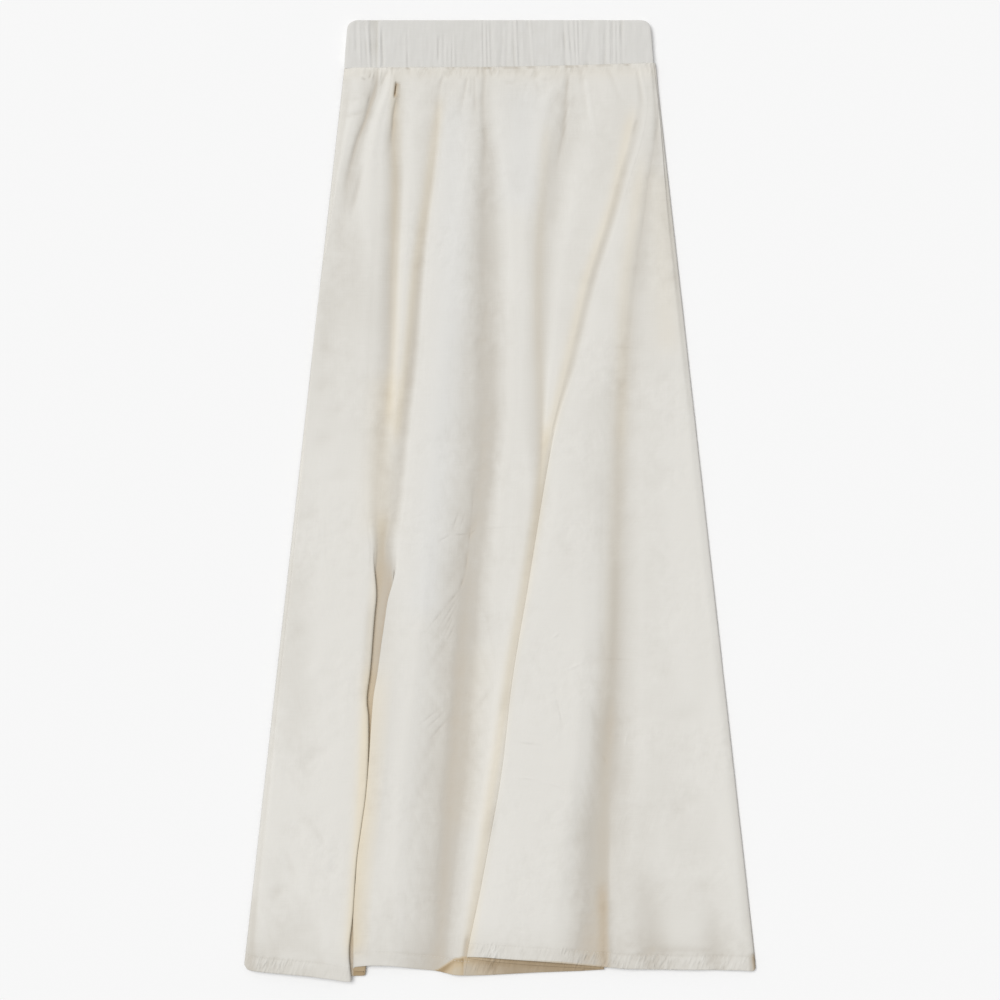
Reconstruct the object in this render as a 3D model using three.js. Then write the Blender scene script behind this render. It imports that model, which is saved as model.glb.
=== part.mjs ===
// A midi skirt laid flat with its front up: an A-line front panel with a deep knife pleat and an inverted
// pleat, a flat back panel under it, and an elasticated waistband. Millimetres, +Z up. The origin is on the
// surface the skirt lies on, under the middle of its outline; the waistband is towards +Y.
import * as THREE from "three";

const LENGTH = 950; // from the band's top edge to the lowest corner of the hem
const CLOTH_WALL = 1;
const BAND_WALL = 3; // cloth folded over a wide elastic
const SEAM_GAP = 0.3; // clearance where two pieces are sewn together

const BAND_DEPTH = 46;
const BAND_HALF_WIDTH = 151; // at its top edge
const BAND_CORNER = 8; // radius of its top corners
const SLIT = 0.6; // between the band's two halves where they lie on each other

const SKIRT_HALF_WIDTH = 154.7; // at the band's seam
const SIDE_FLARE = 0.1115; // how far each side runs out for each millimetre down
const HEM_CORNER = 4;
const BACK_HEM = 931; // how far down the back panel ends

// Heights of the cloth's middle surface above the table.
const EDGE_HEIGHT = CLOTH_WALL * 1.5 + SEAM_GAP; // a side edge, lying on the back panel's edge
const LAYER = 1.6; // from one pressed layer to the next
const FLOOR = 2; // a pleat's lowest layer
const RETURN = FLOOR + LAYER; // the layer that runs back over it

// Stations down the front, measured from the band's top edge. Each fold below has one value for each.
const STATIONS = [46.3, 80, 110, 160, 260, 400, 480, 560, 620, 720, 850, 935];
const FORMING_ROWS = [98, 101, 104, 118, 144, 500, 540]; // more sections where the two pleats form
const NOMINAL_HEM = STATIONS.at(-1);
const HEM_REACH = 90; // the hem's rise and fall fades out over this height

// Each row is one line that runs down the front: how far across it lies and how high, and how far down it ends.
const FOLDS = {
  // a soft crease slanting out of the gathers at the left
  groove: { x: [-124, -128, -138, -151, -163, -178, -185, -190, -196, -205, -215, -222], z: [4.2, 3.5, 3.4, 3.6, 4.4, 4.6, 4.8, 5.0, 5.0, 5.0, 4.8, 4.6], hem: 941.9 },
  // the left part's ridge
  leftTop: { x: [-116, -118, -125, -130, -131, -147, -140, -143, -146, -151, -157, -169], z: [4.5, 5.1, 5.3, 5.3, 5.1, 5.2, 5.3, 5.4, 5.4, 5.4, 5.4, 5.4], hem: 947.5 },
  // the first valley, which turns under the left part and becomes the inverted pleat
  leftValley: { x: [-104, -105, -108, -108, -111, -120, -123, -127, -136, -146, -154, -159.5], z: [4.2, 2.7, 2.7, 2.8, 2.9, 3.0, 2.8, 2.8, 2.8, 2.8, 2.8, 2.8], hem: 947 },
  // the narrow ridge between the two valleys, which sinks to be the pleat's floor
  crest: { x: [-92, -88, -88, -93, -96, -110, -115, -117, -123, -131, -142, -147], z: [4.5, 4.8, 5.0, 5.1, 5.1, 4.7, 3.9, 2.1, 2.0, 2.0, 2.0, 2.0], hem: 945 },
  // the second valley, which turns under the middle part
  midValley: { x: [-64, -60, -67, -73, -83, -100, -106, -107, -110, -118, -130, -135], z: [4.4, 4.4, 4.0, 3.2, 2.8, 2.8, 2.8, 2.8, 2.8, 2.8, 2.8, 2.8], hem: 944.6 },
  // the middle part's ridge, then its valley and its second ridge
  midTop: { x: [-46, -43, -46, -54, -65, -71, -80, -88, -93, -106, -119, -124], z: [4.5, 5.0, 5.2, 5.3, 5.3, 5.4, 5.4, 5.4, 5.4, 5.4, 5.4, 5.3], hem: 933.4 },
  midDip: { x: [-17, -19, -20, -18, -20, -23, -29, -35, -42, -50, -60, -68], z: [4.2, 4.1, 3.7, 3.0, 2.7, 2.7, 2.8, 2.8, 2.7, 2.6, 2.6, 2.7], hem: 940.3 },
  secondTop: { x: [14, 14, 11, 7, 12, 12, 5, -1, -6, -20, -35, -46], z: [4.5, 5.0, 5.2, 5.3, 5.2, 5.1, 5.0, 4.8, 4.6, 4.4, 4.2, 4.2], hem: 943.7 },
  // a soft valley that meets the knife pleat half way down, and the cloth between them
  farDip: { x: [68, 60, 52, 42, 35, 36, 28, 16, 7, -7, -28, -41], z: [4.3, 3.9, 3.5, 3.0, 2.9, 3.0, 3.4, 3.9, 3.9, 3.8, 3.7, 3.7], hem: 944.2 },
  wedge: { x: [100, 100, 97, 86, 61, 44, 33, 20, 11, -4, -25, -39], z: [4.5, 4.6, 4.1, 3.7, 3.6, 3.6, 3.5, 3.5, 3.5, 3.5, 3.5, 3.5], hem: 944.3 },
  // the knife pleat's edge, and the ridge of the cloth on top of it
  pleatEdge: { x: [130, 139, 133, 116, 86, 51, 37, 24, 15, 0, -21, -35], hem: 925.3 },
  rightTop: { x: [141, 148, 144, 127, 98, 66, 52, 40, 33, 21, 10, 0], z: [4.3, 5.2, 6.8, 6.8, 6.8, 6.8, 6.8, 6.8, 6.8, 6.8, 6.8, 6.8], hem: 926.6 },
  // the crease right of the pleat, and the smooth right part
  rightValley: { x: [146, 152, 154, 147, 129, 118, 116, 112, 110, 107, 103, 106], z: [3.9, 3.6, 3.2, 3.0, 3.0, 3.0, 3.0, 3.0, 2.9, 2.8, 2.7, 2.7], hem: 936 },
  farTop: { x: [148, 154, 158, 158, 150, 167, 170, 172, 176, 184, 196, 197], z: [3.4, 3.2, 3.4, 4.4, 5.2, 5.4, 5.4, 5.4, 5.4, 5.4, 5.2, 5.0], hem: 937.6 },
};

// ---- curves

const mix = (a, b, t) => a + (b - a) * t;
const smooth = (t) => {
  const s = Math.min(1, Math.max(0, t));
  return s * s * (3 - 2 * s);
};

// A cubic from a to b that leaves with slope da and arrives with slope db.
function hermite(a, b, da, db, t) {
  const t2 = t * t,
    t3 = t2 * t;
  return (2 * t3 - 3 * t2 + 1) * a + (t3 - 2 * t2 + t) * da + (3 * t2 - 2 * t3) * b + (t3 - t2) * db;
}

// A smooth curve through one value for each station, read at any distance down.
function along(values, down) {
  const last = STATIONS.length - 1;
  let i = STATIONS.findIndex((s, k) => k < last && down <= STATIONS[k + 1]);
  if (i < 0) i = last - 1;
  const slope = (a, b) => (values[b] - values[a]) / (STATIONS[b] - STATIONS[a]);
  const tangent = (k) => slope(Math.max(0, k - 1), Math.min(last, k + 1));
  const span = STATIONS[i + 1] - STATIONS[i];
  const t = Math.min(1, Math.max(0, (down - STATIONS[i]) / span));
  return hermite(values[i], values[i + 1], tangent(i) * span, tangent(i + 1) * span, t);
}

// A curve through key points that never swings past them: each coordinate is a monotone cubic over the
// points' spacing. Each span has two facets, unless its first point says how many.
function throughKeys(keys) {
  const spacing = keys.slice(1).map((k, i) => Math.hypot(k.x - keys[i].x, k.z - keys[i].z));
  const tangents = (name) => {
    const slopes = spacing.map((d, i) => (keys[i + 1][name] - keys[i][name]) / d);
    return keys.map((_, i) => {
      if (i === 0) return slopes[0];
      if (i === slopes.length) return slopes.at(-1);
      const [a, b] = [slopes[i - 1], slopes[i]];
      return a * b > 0 ? (2 * a * b) / (a + b) : 0;
    });
  };
  const names = ["x", "z", "hem"];
  const tangentOf = Object.fromEntries(names.map((name) => [name, tangents(name)]));
  const points = spacing.flatMap((d, i) => {
    const facets = keys[i].facets ?? 2;
    const at = (name, t) =>
      hermite(keys[i][name], keys[i + 1][name], tangentOf[name][i] * d, tangentOf[name][i + 1] * d, t);
    return Array.from({ length: facets }, (_, k) =>
      Object.fromEntries(names.map((name) => [name, at(name, k / facets)])),
    );
  });
  return [...points, keys.at(-1)];
}

const halfWidth = (down) => SKIRT_HALF_WIDTH + SIDE_FLARE * (down - BAND_DEPTH);
const toY = (down) => LENGTH / 2 - down;

// ---- the front panel's section: its key points from left to right, each {x, z, hem}

// Cloth bent half round at x, from one height and hem to another; facing says which way the bend bulges.
function bend(x, facing, from, to) {
  const radius = Math.abs(to.z - from.z) / 2;
  return [0, 0.25, 0.5, 0.75, 1].map((t) => ({
    x: x - facing * radius * (1 - Math.sin(Math.PI * t)),
    z: mix(from.z, to.z, (1 - Math.cos(Math.PI * t)) / 2),
    hem: mix(from.hem, to.hem, t),
    facets: 1,
  }));
}

// Folds form gradually: the same points lie along a soft slope from one point to another where there is no
// fold yet. As it forms they first reach their folded heights, and then their places across.
const forming = (points, from, to, raised, folded) =>
  points.map((p, i) => {
    const t = i / (points.length - 1);
    return {
      ...p,
      x: mix(mix(from.x, to.x, t), p.x, folded),
      z: mix(mix(from.z, to.z, smooth(t)), p.z, raised),
    };
  });

// One side of the inverted pleat, from the ridge down. The cloth bends at the lip, runs back under it, and
// bends again on to the pleat's floor. Higher up, where the pleat is open, it is the side of a soft valley.
function pleatSide(facing, lipX, topZ, valley, folded, lipHem, floorHem) {
  const points = [
    ...bend(lipX, facing, { z: topZ, hem: lipHem }, { z: RETURN, hem: mix(lipHem, floorHem, 0.5) }),
    ...bend(valley.x, -facing, { z: RETURN, hem: mix(lipHem, floorHem, 0.5) }, { z: FLOOR, hem: floorHem }),
  ];
  const brink = { x: valley.x - facing * 9, z: mix(valley.z, topZ, 0.85) };
  return forming(points, brink, valley, folded, folded);
}

// The knife pleat. The middle part's cloth runs under the pleat's edge to the inner fold, back over itself to
// the edge, and over it. Where the pleat starts, near the band, the same points make a low step.
function knifePleat(edgeX, innerX, before, after, raised, folded) {
  const under = before.z - 0.4; // the middle part's cloth where the edge lies on it
  const low = pleatFloor(before, innerX - edgeX);
  const sag = mix(under, low, 0.7);
  const points = [
    { x: edgeX - 1, z: under, hem: 944.5 },
    { x: mix(edgeX - 1, innerX, 0.5), z: sag, hem: 941.7 },
    ...bend(innerX, 1, { z: low, hem: 938.8 }, { z: low + LAYER, hem: 938.4 }),
    { x: mix(edgeX + 1, innerX - 1, 0.5), z: sag + LAYER, hem: 934.3 },
    ...bend(edgeX, -1, { z: under + LAYER, hem: 927 }, { z: under + 2.2 * LAYER, hem: 925.3 }),
  ];
  const brink = { x: edgeX - 6, z: before.z };
  return forming(points, brink, { x: edgeX + 6, z: after.z }, raised, folded);
}

// How high the knife pleat's lowest layer lies: on the back panel once the pleat is deep.
const pleatFloor = (before, depth) => mix(before.z - 0.4, FLOOR, smooth(depth / 45));

function frontSection(down) {
  const at = Object.fromEntries(
    Object.entries(FOLDS).map(([name, f]) => [
      name,
      { x: along(f.x, down), z: f.z ? along(f.z, down) : 0, hem: f.hem },
    ]),
  );
  const between = (a, b, t, u, hem) => ({
    x: mix(a.x, b.x, t),
    z: mix(a.z, b.z, u),
    hem,
  });
  const half = halfWidth(down);
  const corner = SEAM_GAP * 2;
  const inverted = smooth((down - 490) / 90);
  const raised = smooth((down - 55) / 45);
  const knife = smooth((down - 88) / 24);
  const deepening = smooth((down - 108) / 45);
  const underLap = mix(LAYER * 1.2, 11, smooth((down - 540) / 200));
  const leftLip = at.leftValley.x + underLap;
  const midLip = at.midValley.x - underLap;
  const innerX = at.pleatEdge.x + mix(2.2 * LAYER, at.rightValley.x - 10 - at.pleatEdge.x, deepening);
  const stack = pleatFloor(at.wedge, innerX - at.pleatEdge.x) + 2 * LAYER + 0.1;
  const rightTop = { ...at.rightTop, z: Math.max(at.rightTop.z, mix(0, stack + 0.2, raised)) };
  const over = {
    x: Math.max(rightTop.x + 1, innerX + 1),
    z: mix(rightTop.z, stack, deepening),
    hem: 934.5,
  };
  const edgeZ = EDGE_HEIGHT;
  return [
    { x: -half, z: edgeZ, hem: 938.5 - HEM_CORNER, facets: 1 },
    { x: -half + 1.5, z: edgeZ + corner, hem: 938.9, facets: 1 },
    { x: -half + 12, z: mix(edgeZ, at.groove.z, 0.55), hem: 940 },
    at.groove,
    at.leftTop,
    ...pleatSide(1, leftLip, at.leftTop.z - 0.2, at.leftValley, inverted, 950, 946),
    at.crest,
    ...pleatSide(-1, midLip, at.midTop.z - 0.2, at.midValley, inverted, 935.7, 944.6).reverse(),
    at.midTop,
    between(at.midTop, at.midDip, 0.5, 0.45, 937),
    at.midDip,
    between(at.midDip, at.secondTop, 0.5, 0.55, 942.4),
    at.secondTop,
    at.farDip,
    at.wedge,
    ...knifePleat(at.pleatEdge.x, innerX, at.wedge, rightTop, raised, knife),
    rightTop,
    between(rightTop, over, 0.5, 0.35, 928.6),
    over,
    at.rightValley,
    between(at.rightValley, at.farTop, 0.35, 0.6, 936.4),
    at.farTop,
    { x: mix(at.farTop.x, half, 0.5), z: mix(at.farTop.z, edgeZ, 0.2), hem: 940.6 },
    { x: half - 1.5, z: edgeZ + corner, hem: 940.5, facets: 1 },
    { x: half, z: edgeZ, hem: 941 - HEM_CORNER },
  ];
}

// ---- meshes

// A closed wall of cloth on a grid of points: grid[row][column] is its middle surface. The wall stands square to
// each row's section.
function wallOnGrid(grid, wall) {
  const rows = grid.length,
    columns = grid[0].length;
  const normalAt = (r, c) => {
    const across = grid[r][Math.min(columns - 1, c + 1)].clone().sub(grid[r][Math.max(0, c - 1)]);
    return new THREE.Vector3(-across.z, 0, across.x).normalize();
  };
  const positions = [];
  [0.5, -0.5].forEach((side) =>
    grid.forEach((row, r) =>
      row.forEach((p, c) => positions.push(...p.clone().addScaledVector(normalAt(r, c), side * wall))),
    ),
  );
  const top = (r, c) => r * columns + c;
  const under = (r, c) => rows * columns + top(r, c);
  const index = [];
  const quad = (a, b, c, d) => index.push(a, b, c, a, c, d);
  for (let r = 0; r < rows - 1; r++)
    for (let c = 0; c < columns - 1; c++) {
      quad(top(r, c), top(r + 1, c), top(r + 1, c + 1), top(r, c + 1));
      quad(under(r, c), under(r, c + 1), under(r + 1, c + 1), under(r + 1, c));
    }
  for (let r = 0; r < rows - 1; r++) {
    quad(top(r, 0), under(r, 0), under(r + 1, 0), top(r + 1, 0));
    const e = columns - 1;
    quad(top(r + 1, e), under(r + 1, e), under(r, e), top(r, e));
  }
  for (let c = 0; c < columns - 1; c++) {
    quad(top(0, c + 1), under(0, c + 1), under(0, c), top(0, c));
    const e = rows - 1;
    quad(top(e, c), under(e, c), under(e, c + 1), top(e, c + 1));
  }
  return new THREE.BufferGeometry()
    .setAttribute("position", new THREE.Float32BufferAttribute(positions, 3))
    .setIndex(index);
}

function clothMesh(name, geometry, color, roughness) {
  const material = new THREE.MeshStandardMaterial({ color, roughness, metalness: 0 });
  const mesh = new THREE.Mesh(geometry, material);
  mesh.name = name;
  return mesh;
}

// The front panel is lofted through its sections.
function frontPanel() {
  const halfway = STATIONS.slice(1).map((s, i) => mix(STATIONS[i], s, 0.5));
  const downs = [...STATIONS, ...halfway, ...FORMING_ROWS].sort((a, b) => a - b);
  const grid = downs.map((down) => {
    const hemShare = smooth((down - NOMINAL_HEM + HEM_REACH) / HEM_REACH);
    return throughKeys(frontSection(down)).map(
      (p) => new THREE.Vector3(p.x, toY(down + hemShare * (p.hem - NOMINAL_HEM)), p.z),
    );
  });
  return clothMesh("front_panel", wallOnGrid(grid, CLOTH_WALL), 0xdddad4, 0.85);
}

// The back panel lies flat on the table.
function backPanel() {
  const inset = SEAM_GAP;
  const top = halfWidth(BAND_DEPTH) - inset;
  const bottom = halfWidth(BACK_HEM) - inset;
  const outline = new THREE.Shape();
  outline.moveTo(-top, toY(BAND_DEPTH + SEAM_GAP));
  outline.lineTo(-bottom, toY(BACK_HEM - HEM_CORNER));
  outline.quadraticCurveTo(-bottom, toY(BACK_HEM), -bottom + HEM_CORNER, toY(BACK_HEM));
  outline.lineTo(bottom - HEM_CORNER, toY(BACK_HEM));
  outline.quadraticCurveTo(bottom, toY(BACK_HEM), bottom, toY(BACK_HEM - HEM_CORNER));
  outline.lineTo(top, toY(BAND_DEPTH + SEAM_GAP));
  outline.closePath();
  const geometry = new THREE.ExtrudeGeometry(outline, {
    depth: CLOTH_WALL,
    bevelEnabled: false,
    curveSegments: 4,
  });
  return clothMesh("back_panel", geometry, 0xd8d4cc, 0.85);
}

// The waistband is a ring of casing pressed flat: two halves on each other, round at both ends.
function waistband() {
  const thickness = 2 * BAND_WALL + SLIT;
  const middle = thickness / 2;
  const endSteps = 6,
    straightSteps = 4;
  // half the ring's section, as [share of the straight part, angle round the end]
  const round = [];
  for (let i = 0; i <= straightSteps; i++) round.push([1 - (2 * i) / straightSteps, Math.PI / 2]);
  for (let i = 1; i < endSteps; i++) round.push([-1, Math.PI / 2 + (Math.PI * i) / endSteps]);
  for (let i = 0; i <= straightSteps; i++) round.push([-1 + (2 * i) / straightSteps, -Math.PI / 2]);
  for (let i = 1; i < endSteps; i++) round.push([1, -Math.PI / 2 + (Math.PI * i) / endSteps]);
  const loop = (down, radius) => {
    const lean = mix(BAND_HALF_WIDTH, SKIRT_HALF_WIDTH, down / BAND_DEPTH);
    const cut = down < BAND_CORNER ? BAND_CORNER - Math.sqrt(BAND_CORNER ** 2 - (BAND_CORNER - down) ** 2) : 0;
    const straight = lean - cut - middle;
    return round.map(
      ([share, angle]) =>
        new THREE.Vector3(
          share * straight + radius * Math.cos(angle),
          toY(down),
          middle + radius * Math.sin(angle),
        ),
    );
  };
  const downs = [0, 1, 2.5, 5, BAND_CORNER, 20, 33, BAND_DEPTH];
  const count = round.length;
  const positions = [];
  [middle, SLIT / 2].forEach((radius) =>
    downs.forEach((down) => loop(down, radius).forEach((p) => positions.push(...p))),
  );
  const outer = (r, c) => r * count + (c % count);
  const inner = (r, c) => downs.length * count + outer(r, c);
  const index = [];
  const quad = (a, b, c, d) => index.push(a, b, c, a, c, d);
  for (let c = 0; c < count; c++) {
    for (let r = 0; r < downs.length - 1; r++) {
      quad(outer(r, c), outer(r, c + 1), outer(r + 1, c + 1), outer(r + 1, c));
      quad(inner(r, c), inner(r + 1, c), inner(r + 1, c + 1), inner(r, c + 1));
    }
    const e = downs.length - 1;
    quad(outer(0, c), inner(0, c), inner(0, c + 1), outer(0, c + 1));
    quad(outer(e, c), outer(e, c + 1), inner(e, c + 1), inner(e, c));
  }
  const geometry = new THREE.BufferGeometry()
    .setAttribute("position", new THREE.Float32BufferAttribute(positions, 3))
    .setIndex(index);
  return clothMesh("waistband", geometry, 0xdfddd9, 0.85);
}

const skirt = new THREE.Group();
skirt.add(waistband(), frontPanel(), backPanel());

export default skirt;
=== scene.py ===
import math
import bpy
import numpy as np
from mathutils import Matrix, Vector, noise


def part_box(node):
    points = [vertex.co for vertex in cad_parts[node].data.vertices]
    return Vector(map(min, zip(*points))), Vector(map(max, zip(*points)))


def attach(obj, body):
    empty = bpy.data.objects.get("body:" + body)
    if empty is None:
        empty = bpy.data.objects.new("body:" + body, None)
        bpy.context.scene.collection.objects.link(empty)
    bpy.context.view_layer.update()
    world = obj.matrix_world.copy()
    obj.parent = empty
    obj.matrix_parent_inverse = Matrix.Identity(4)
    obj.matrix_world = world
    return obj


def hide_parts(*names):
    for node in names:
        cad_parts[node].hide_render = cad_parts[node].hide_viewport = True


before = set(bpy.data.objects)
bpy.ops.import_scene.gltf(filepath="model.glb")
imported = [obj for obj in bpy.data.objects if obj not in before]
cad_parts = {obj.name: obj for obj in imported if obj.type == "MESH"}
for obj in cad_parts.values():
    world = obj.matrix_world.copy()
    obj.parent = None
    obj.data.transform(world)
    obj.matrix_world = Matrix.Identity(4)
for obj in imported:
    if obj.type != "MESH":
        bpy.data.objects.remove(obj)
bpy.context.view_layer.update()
print("frame loaded")

# A long A-line skirt laid flat with its front up. Shapes are worked out in millimetres:
# x runs to the right, down runs from the band's top edge to the hem, z is the height over the table.
mm = 0.001
bandBox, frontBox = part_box("waistband"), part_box("front_panel")
topY = bandBox[1].y / mm
seamDown = topY - bandBox[0].y / mm
seamHalf = bandBox[1].x / mm
hemDown = 935  # the front's middle hem line, which rises and falls from fold to fold
cornerDown = 937  # where the right side ends
sideFlare = (frontBox[1].x / mm - seamHalf) / (cornerDown - seamDown)


def halfWidth(down):
    return seamHalf + sideFlare * (down - seamDown)


def mix(a, b, t):
    return a + (b - a) * t


def smooth(t):
    t = np.clip(t, 0, 1)
    return t * t * (3 - 2 * t)


# 1 on a line, fading out on both sides of it
def hill(off, width):
    return np.exp(-(off / width) ** 2)


def hermite(a, b, slopeA, slopeB, t):
    t2 = t * t
    t3 = t2 * t
    leave, arrive = (t3 - 2 * t2 + t) * slopeA, (t3 - t2) * slopeB
    return (2 * t3 - 3 * t2 + 1) * a + leave + (3 * t2 - 2 * t3) * b + arrive


# a smooth curve through one value for each station, read at every down
def along(values, stations, down):
    s, v = np.array(stations, float), np.array(values, float)
    order = np.arange(len(s))
    before, after = np.maximum(order - 1, 0), np.minimum(order + 1, len(s) - 1)
    slope = (v[after] - v[before]) / (s[after] - s[before])
    i = np.clip(np.searchsorted(s, down, side="right") - 1, 0, len(s) - 2)
    span = s[i + 1] - s[i]
    t = np.clip((down - s[i]) / span, 0, 1)
    return hermite(v[i], v[i + 1], slope[i] * span, slope[i + 1] * span, t)


# the columns of a row that runs through its key points and never swings past them; a key holds one value for
# every row, and its facets are the columns up to the next key
def throughKeys(keys, columnWidth):
    names = ("x", "z", "hem", "inner")
    rows = len(keys[0]["x"])
    values = np.array([[np.broadcast_to(k[n], rows) for k in keys] for n in names], float)
    spacing = np.maximum(np.hypot(np.diff(values[0], axis=0), np.diff(values[1], axis=0)), 1e-3)
    slopes = np.diff(values, axis=1) / spacing
    a, b = slopes[:, :-1], slopes[:, 1:]
    meeting = np.where(a * b > 0, 2 * a * b / np.where(a + b == 0, 1, a + b), 0)
    tangents = np.concatenate([slopes[:, :1], meeting, slopes[:, -1:]], axis=1)
    columns = []
    for i, d in enumerate(spacing):
        facets = keys[i]["facets"] or max(2, math.ceil(max(d.mean(), 0.5 * d.max()) / columnWidth))
        start, end = values[:, i], values[:, i + 1]
        slopeStart, slopeEnd = tangents[:, i] * d, tangents[:, i + 1] * d
        columns += [hermite(start, end, slopeStart, slopeEnd, t) for t in np.arange(facets) / facets]
    columns.append(values[:, -1])
    return dict(zip(names, np.moveaxis(np.array(columns), 1, 0).transpose(0, 2, 1)))


# one soft crease from start to end, each (x, down); depth is positive for a trough and negative for a ridge,
# bow is how far its middle swings aside, and ends is the share of its length over which it fades in and out
def creaseDepth(x, down, start, end, width, depth, bow=0, ends=0.35):
    dx, dd = end[0] - start[0], end[1] - start[1]
    length = math.hypot(dx, dd)
    t = ((x - start[0]) * dx + (down - start[1]) * dd) / length ** 2
    within = np.clip(t, 0, 1)
    off = ((x - start[0]) * dd - (down - start[1]) * dx) / length - bow * 4 * within * (1 - within)
    fade = smooth(t / ends) * smooth((1 - t) / ends)
    return depth * fade * hill(off, width)


# how far x lies beside a line of (x, down)
def besideLine(x, down, line):
    xs, downs = zip(*line)
    return x - np.interp(down, downs, xs)


def noiseAt(x, down, size, seed):
    x, down = np.broadcast_arrays(x, down)
    flat = [noise.noise(Vector((a / size, b / size, seed))) for a, b in zip(x.ravel(), down.ravel())]
    return np.array(flat).reshape(x.shape)


def gridNormals(points):
    n = np.cross(np.gradient(points, axis=0), np.gradient(points, axis=1))
    return n / np.maximum(np.linalg.norm(n, axis=2, keepdims=True), 1e-9)


# a closed shell of cloth around a grid of points [row, column, xyz] in millimetres; its underside keeps only
# the rows in underRows, which are one or two rows apart
def clothShell(name, points, thickness, attributes, uv, underRows=None):
    rows, columns = points.shape[:2]
    keep = np.arange(rows) if underRows is None else np.array(underRows)
    offset = thickness / 2 * gridNormals(points)
    upper, lower = points + offset, (points - offset)[keep]
    top = np.arange(rows * columns).reshape(rows, columns)
    under = rows * columns + np.arange(len(keep) * columns).reshape(len(keep), columns)

    def quads(a, b, c, d):
        return np.stack([a, b, c, d], axis=-1).reshape(-1, 4).tolist()

    faces = quads(top[:-1, :-1], top[1:, :-1], top[1:, 1:], top[:-1, 1:])
    faces += quads(under[:-1, :-1], under[:-1, 1:], under[1:, 1:], under[1:, :-1])
    faces += quads(top[0, 1:], under[0, 1:], under[0, :-1], top[0, :-1])
    faces += quads(top[-1, :-1], under[-1, :-1], under[-1, 1:], top[-1, 1:])
    for i, (a, b) in enumerate(zip(keep[:-1], keep[1:])):
        faces.append([*top[a:b + 1, 0][::-1], under[i, 0], under[i + 1, 0]])
        faces.append([*top[a:b + 1, -1], under[i + 1, -1], under[i, -1]])
    both = {k: np.concatenate([v.ravel(), v[keep].ravel()]) for k, v in attributes.items()}
    shell = np.concatenate([upper.reshape(-1, 3), lower.reshape(-1, 3)])
    uv = np.concatenate([uv.reshape(-1, 2), uv[keep].reshape(-1, 2)])
    return meshPiece(name, shell, faces, both, uv)


def addObject(name, data):
    added = bpy.data.objects.new(name, data)
    bpy.context.scene.collection.objects.link(added)
    return added


# a smooth mesh from points and a UV map in millimetres, with one value of each attribute for every point
def meshPiece(name, points, faces, attributes, uv):
    mesh = bpy.data.meshes.new(name)
    mesh.from_pydata((points * mm).tolist(), [], faces)
    mesh.update()
    mesh.polygons.foreach_set("use_smooth", np.ones(len(mesh.polygons), bool))
    for label, values in attributes.items():
        mesh.attributes.new(label, "FLOAT", "POINT").data.foreach_set("value", np.asarray(values, np.float32))
    corner = np.empty(len(mesh.loops), np.int32)
    mesh.loops.foreach_get("vertex_index", corner)
    mesh.uv_layers.new(name="weave").data.foreach_set("uv", (uv[corner] * mm).astype(np.float32).ravel())
    return addObject(name, mesh)


def blurred(field, radius):
    reach = int(3 * radius)
    kernel = np.exp(-0.5 * (np.arange(-reach, reach + 1) / radius) ** 2)
    kernel /= kernel.sum()
    for axis in (0, 1):
        margins = [(reach, reach) if a == axis else (0, 0) for a in (0, 1)]
        padded = np.pad(field, margins, mode="edge")
        field = np.apply_along_axis(lambda v: np.convolve(v, kernel, mode="valid"), axis, padded)
    return field


# a map over the whole skirt, in square cells from its left edge and the band's top
depthMap = {"cell": 2.0, "left": -262, "columns": 263, "rows": 486}


# how deep in the folds a point lies: the top surface, blurred over reach, less the point's own height
def foldDepth(x, down, z, reach):
    cell, columns, rows = depthMap["cell"], depthMap["columns"], depthMap["rows"]
    i = np.clip(((x - depthMap["left"]) / cell).astype(int), 0, columns - 1)
    j = np.clip((down / cell).astype(int), 0, rows - 1)
    highest = np.full((rows, columns), -1.0)
    np.maximum.at(highest, (j.ravel(), i.ravel()), z.ravel())
    known = (highest >= 0).astype(float)
    level = blurred(highest * known, reach / cell) / np.maximum(blurred(known, reach / cell), 1e-3)
    return level[j, i] - z


frontCloth = {
    "thickness": 0.6,
    "columnWidth": 2.1,
    # its rows lie closest under the band and at the hem: from, to and how far apart, and how many after that
    "rowSteps": [(seamDown - 1, 60, 1.5), (60, 110, 2.2), (110, 150, 3.2), (150, 880, 5.6), (880, 914, 3.4)],
    "hemRows": 15,
    "bendFacets": 6,  # round a pleat's edge
    "layer": 0.75,  # from one pressed layer to the next
    "floor": 2.0,  # a pleat's lowest layer
    "sideZ": 1.5,  # the side edges, lying on the back panel's
    "hemReach": 90,  # the hem's rise and fall fades out over this height
    "hemDepth": 14,  # of the cloth turned up inside
    "hemBend": 0.42,  # radius of the turned edge
    "rightInset": 1.6,  # the right side lies a little closer in than the left
    "seamReach": 40,  # the seam's slope fades out over this
    "seamPucker": 0.6,  # how strongly the stitching draws the cloth up
    "hemPucker": 0.9,
    "broadWaves": (0.46, 70, 3.1),  # the cloth is never quite flat: height, size and seed
    "finerWaves": (0.3, 26, 7.7),
    "valleyDepth": 0.06,  # of the shallow valley along the band's seam
    "valleyWidth": 1.5,
    "gapDepth": 0.5,  # how much deeper its gaps are, and with the next two, the painted shade in them
    "gapShade": 0.3,
    "gapShadeWidth": 1.3,
}

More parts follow.
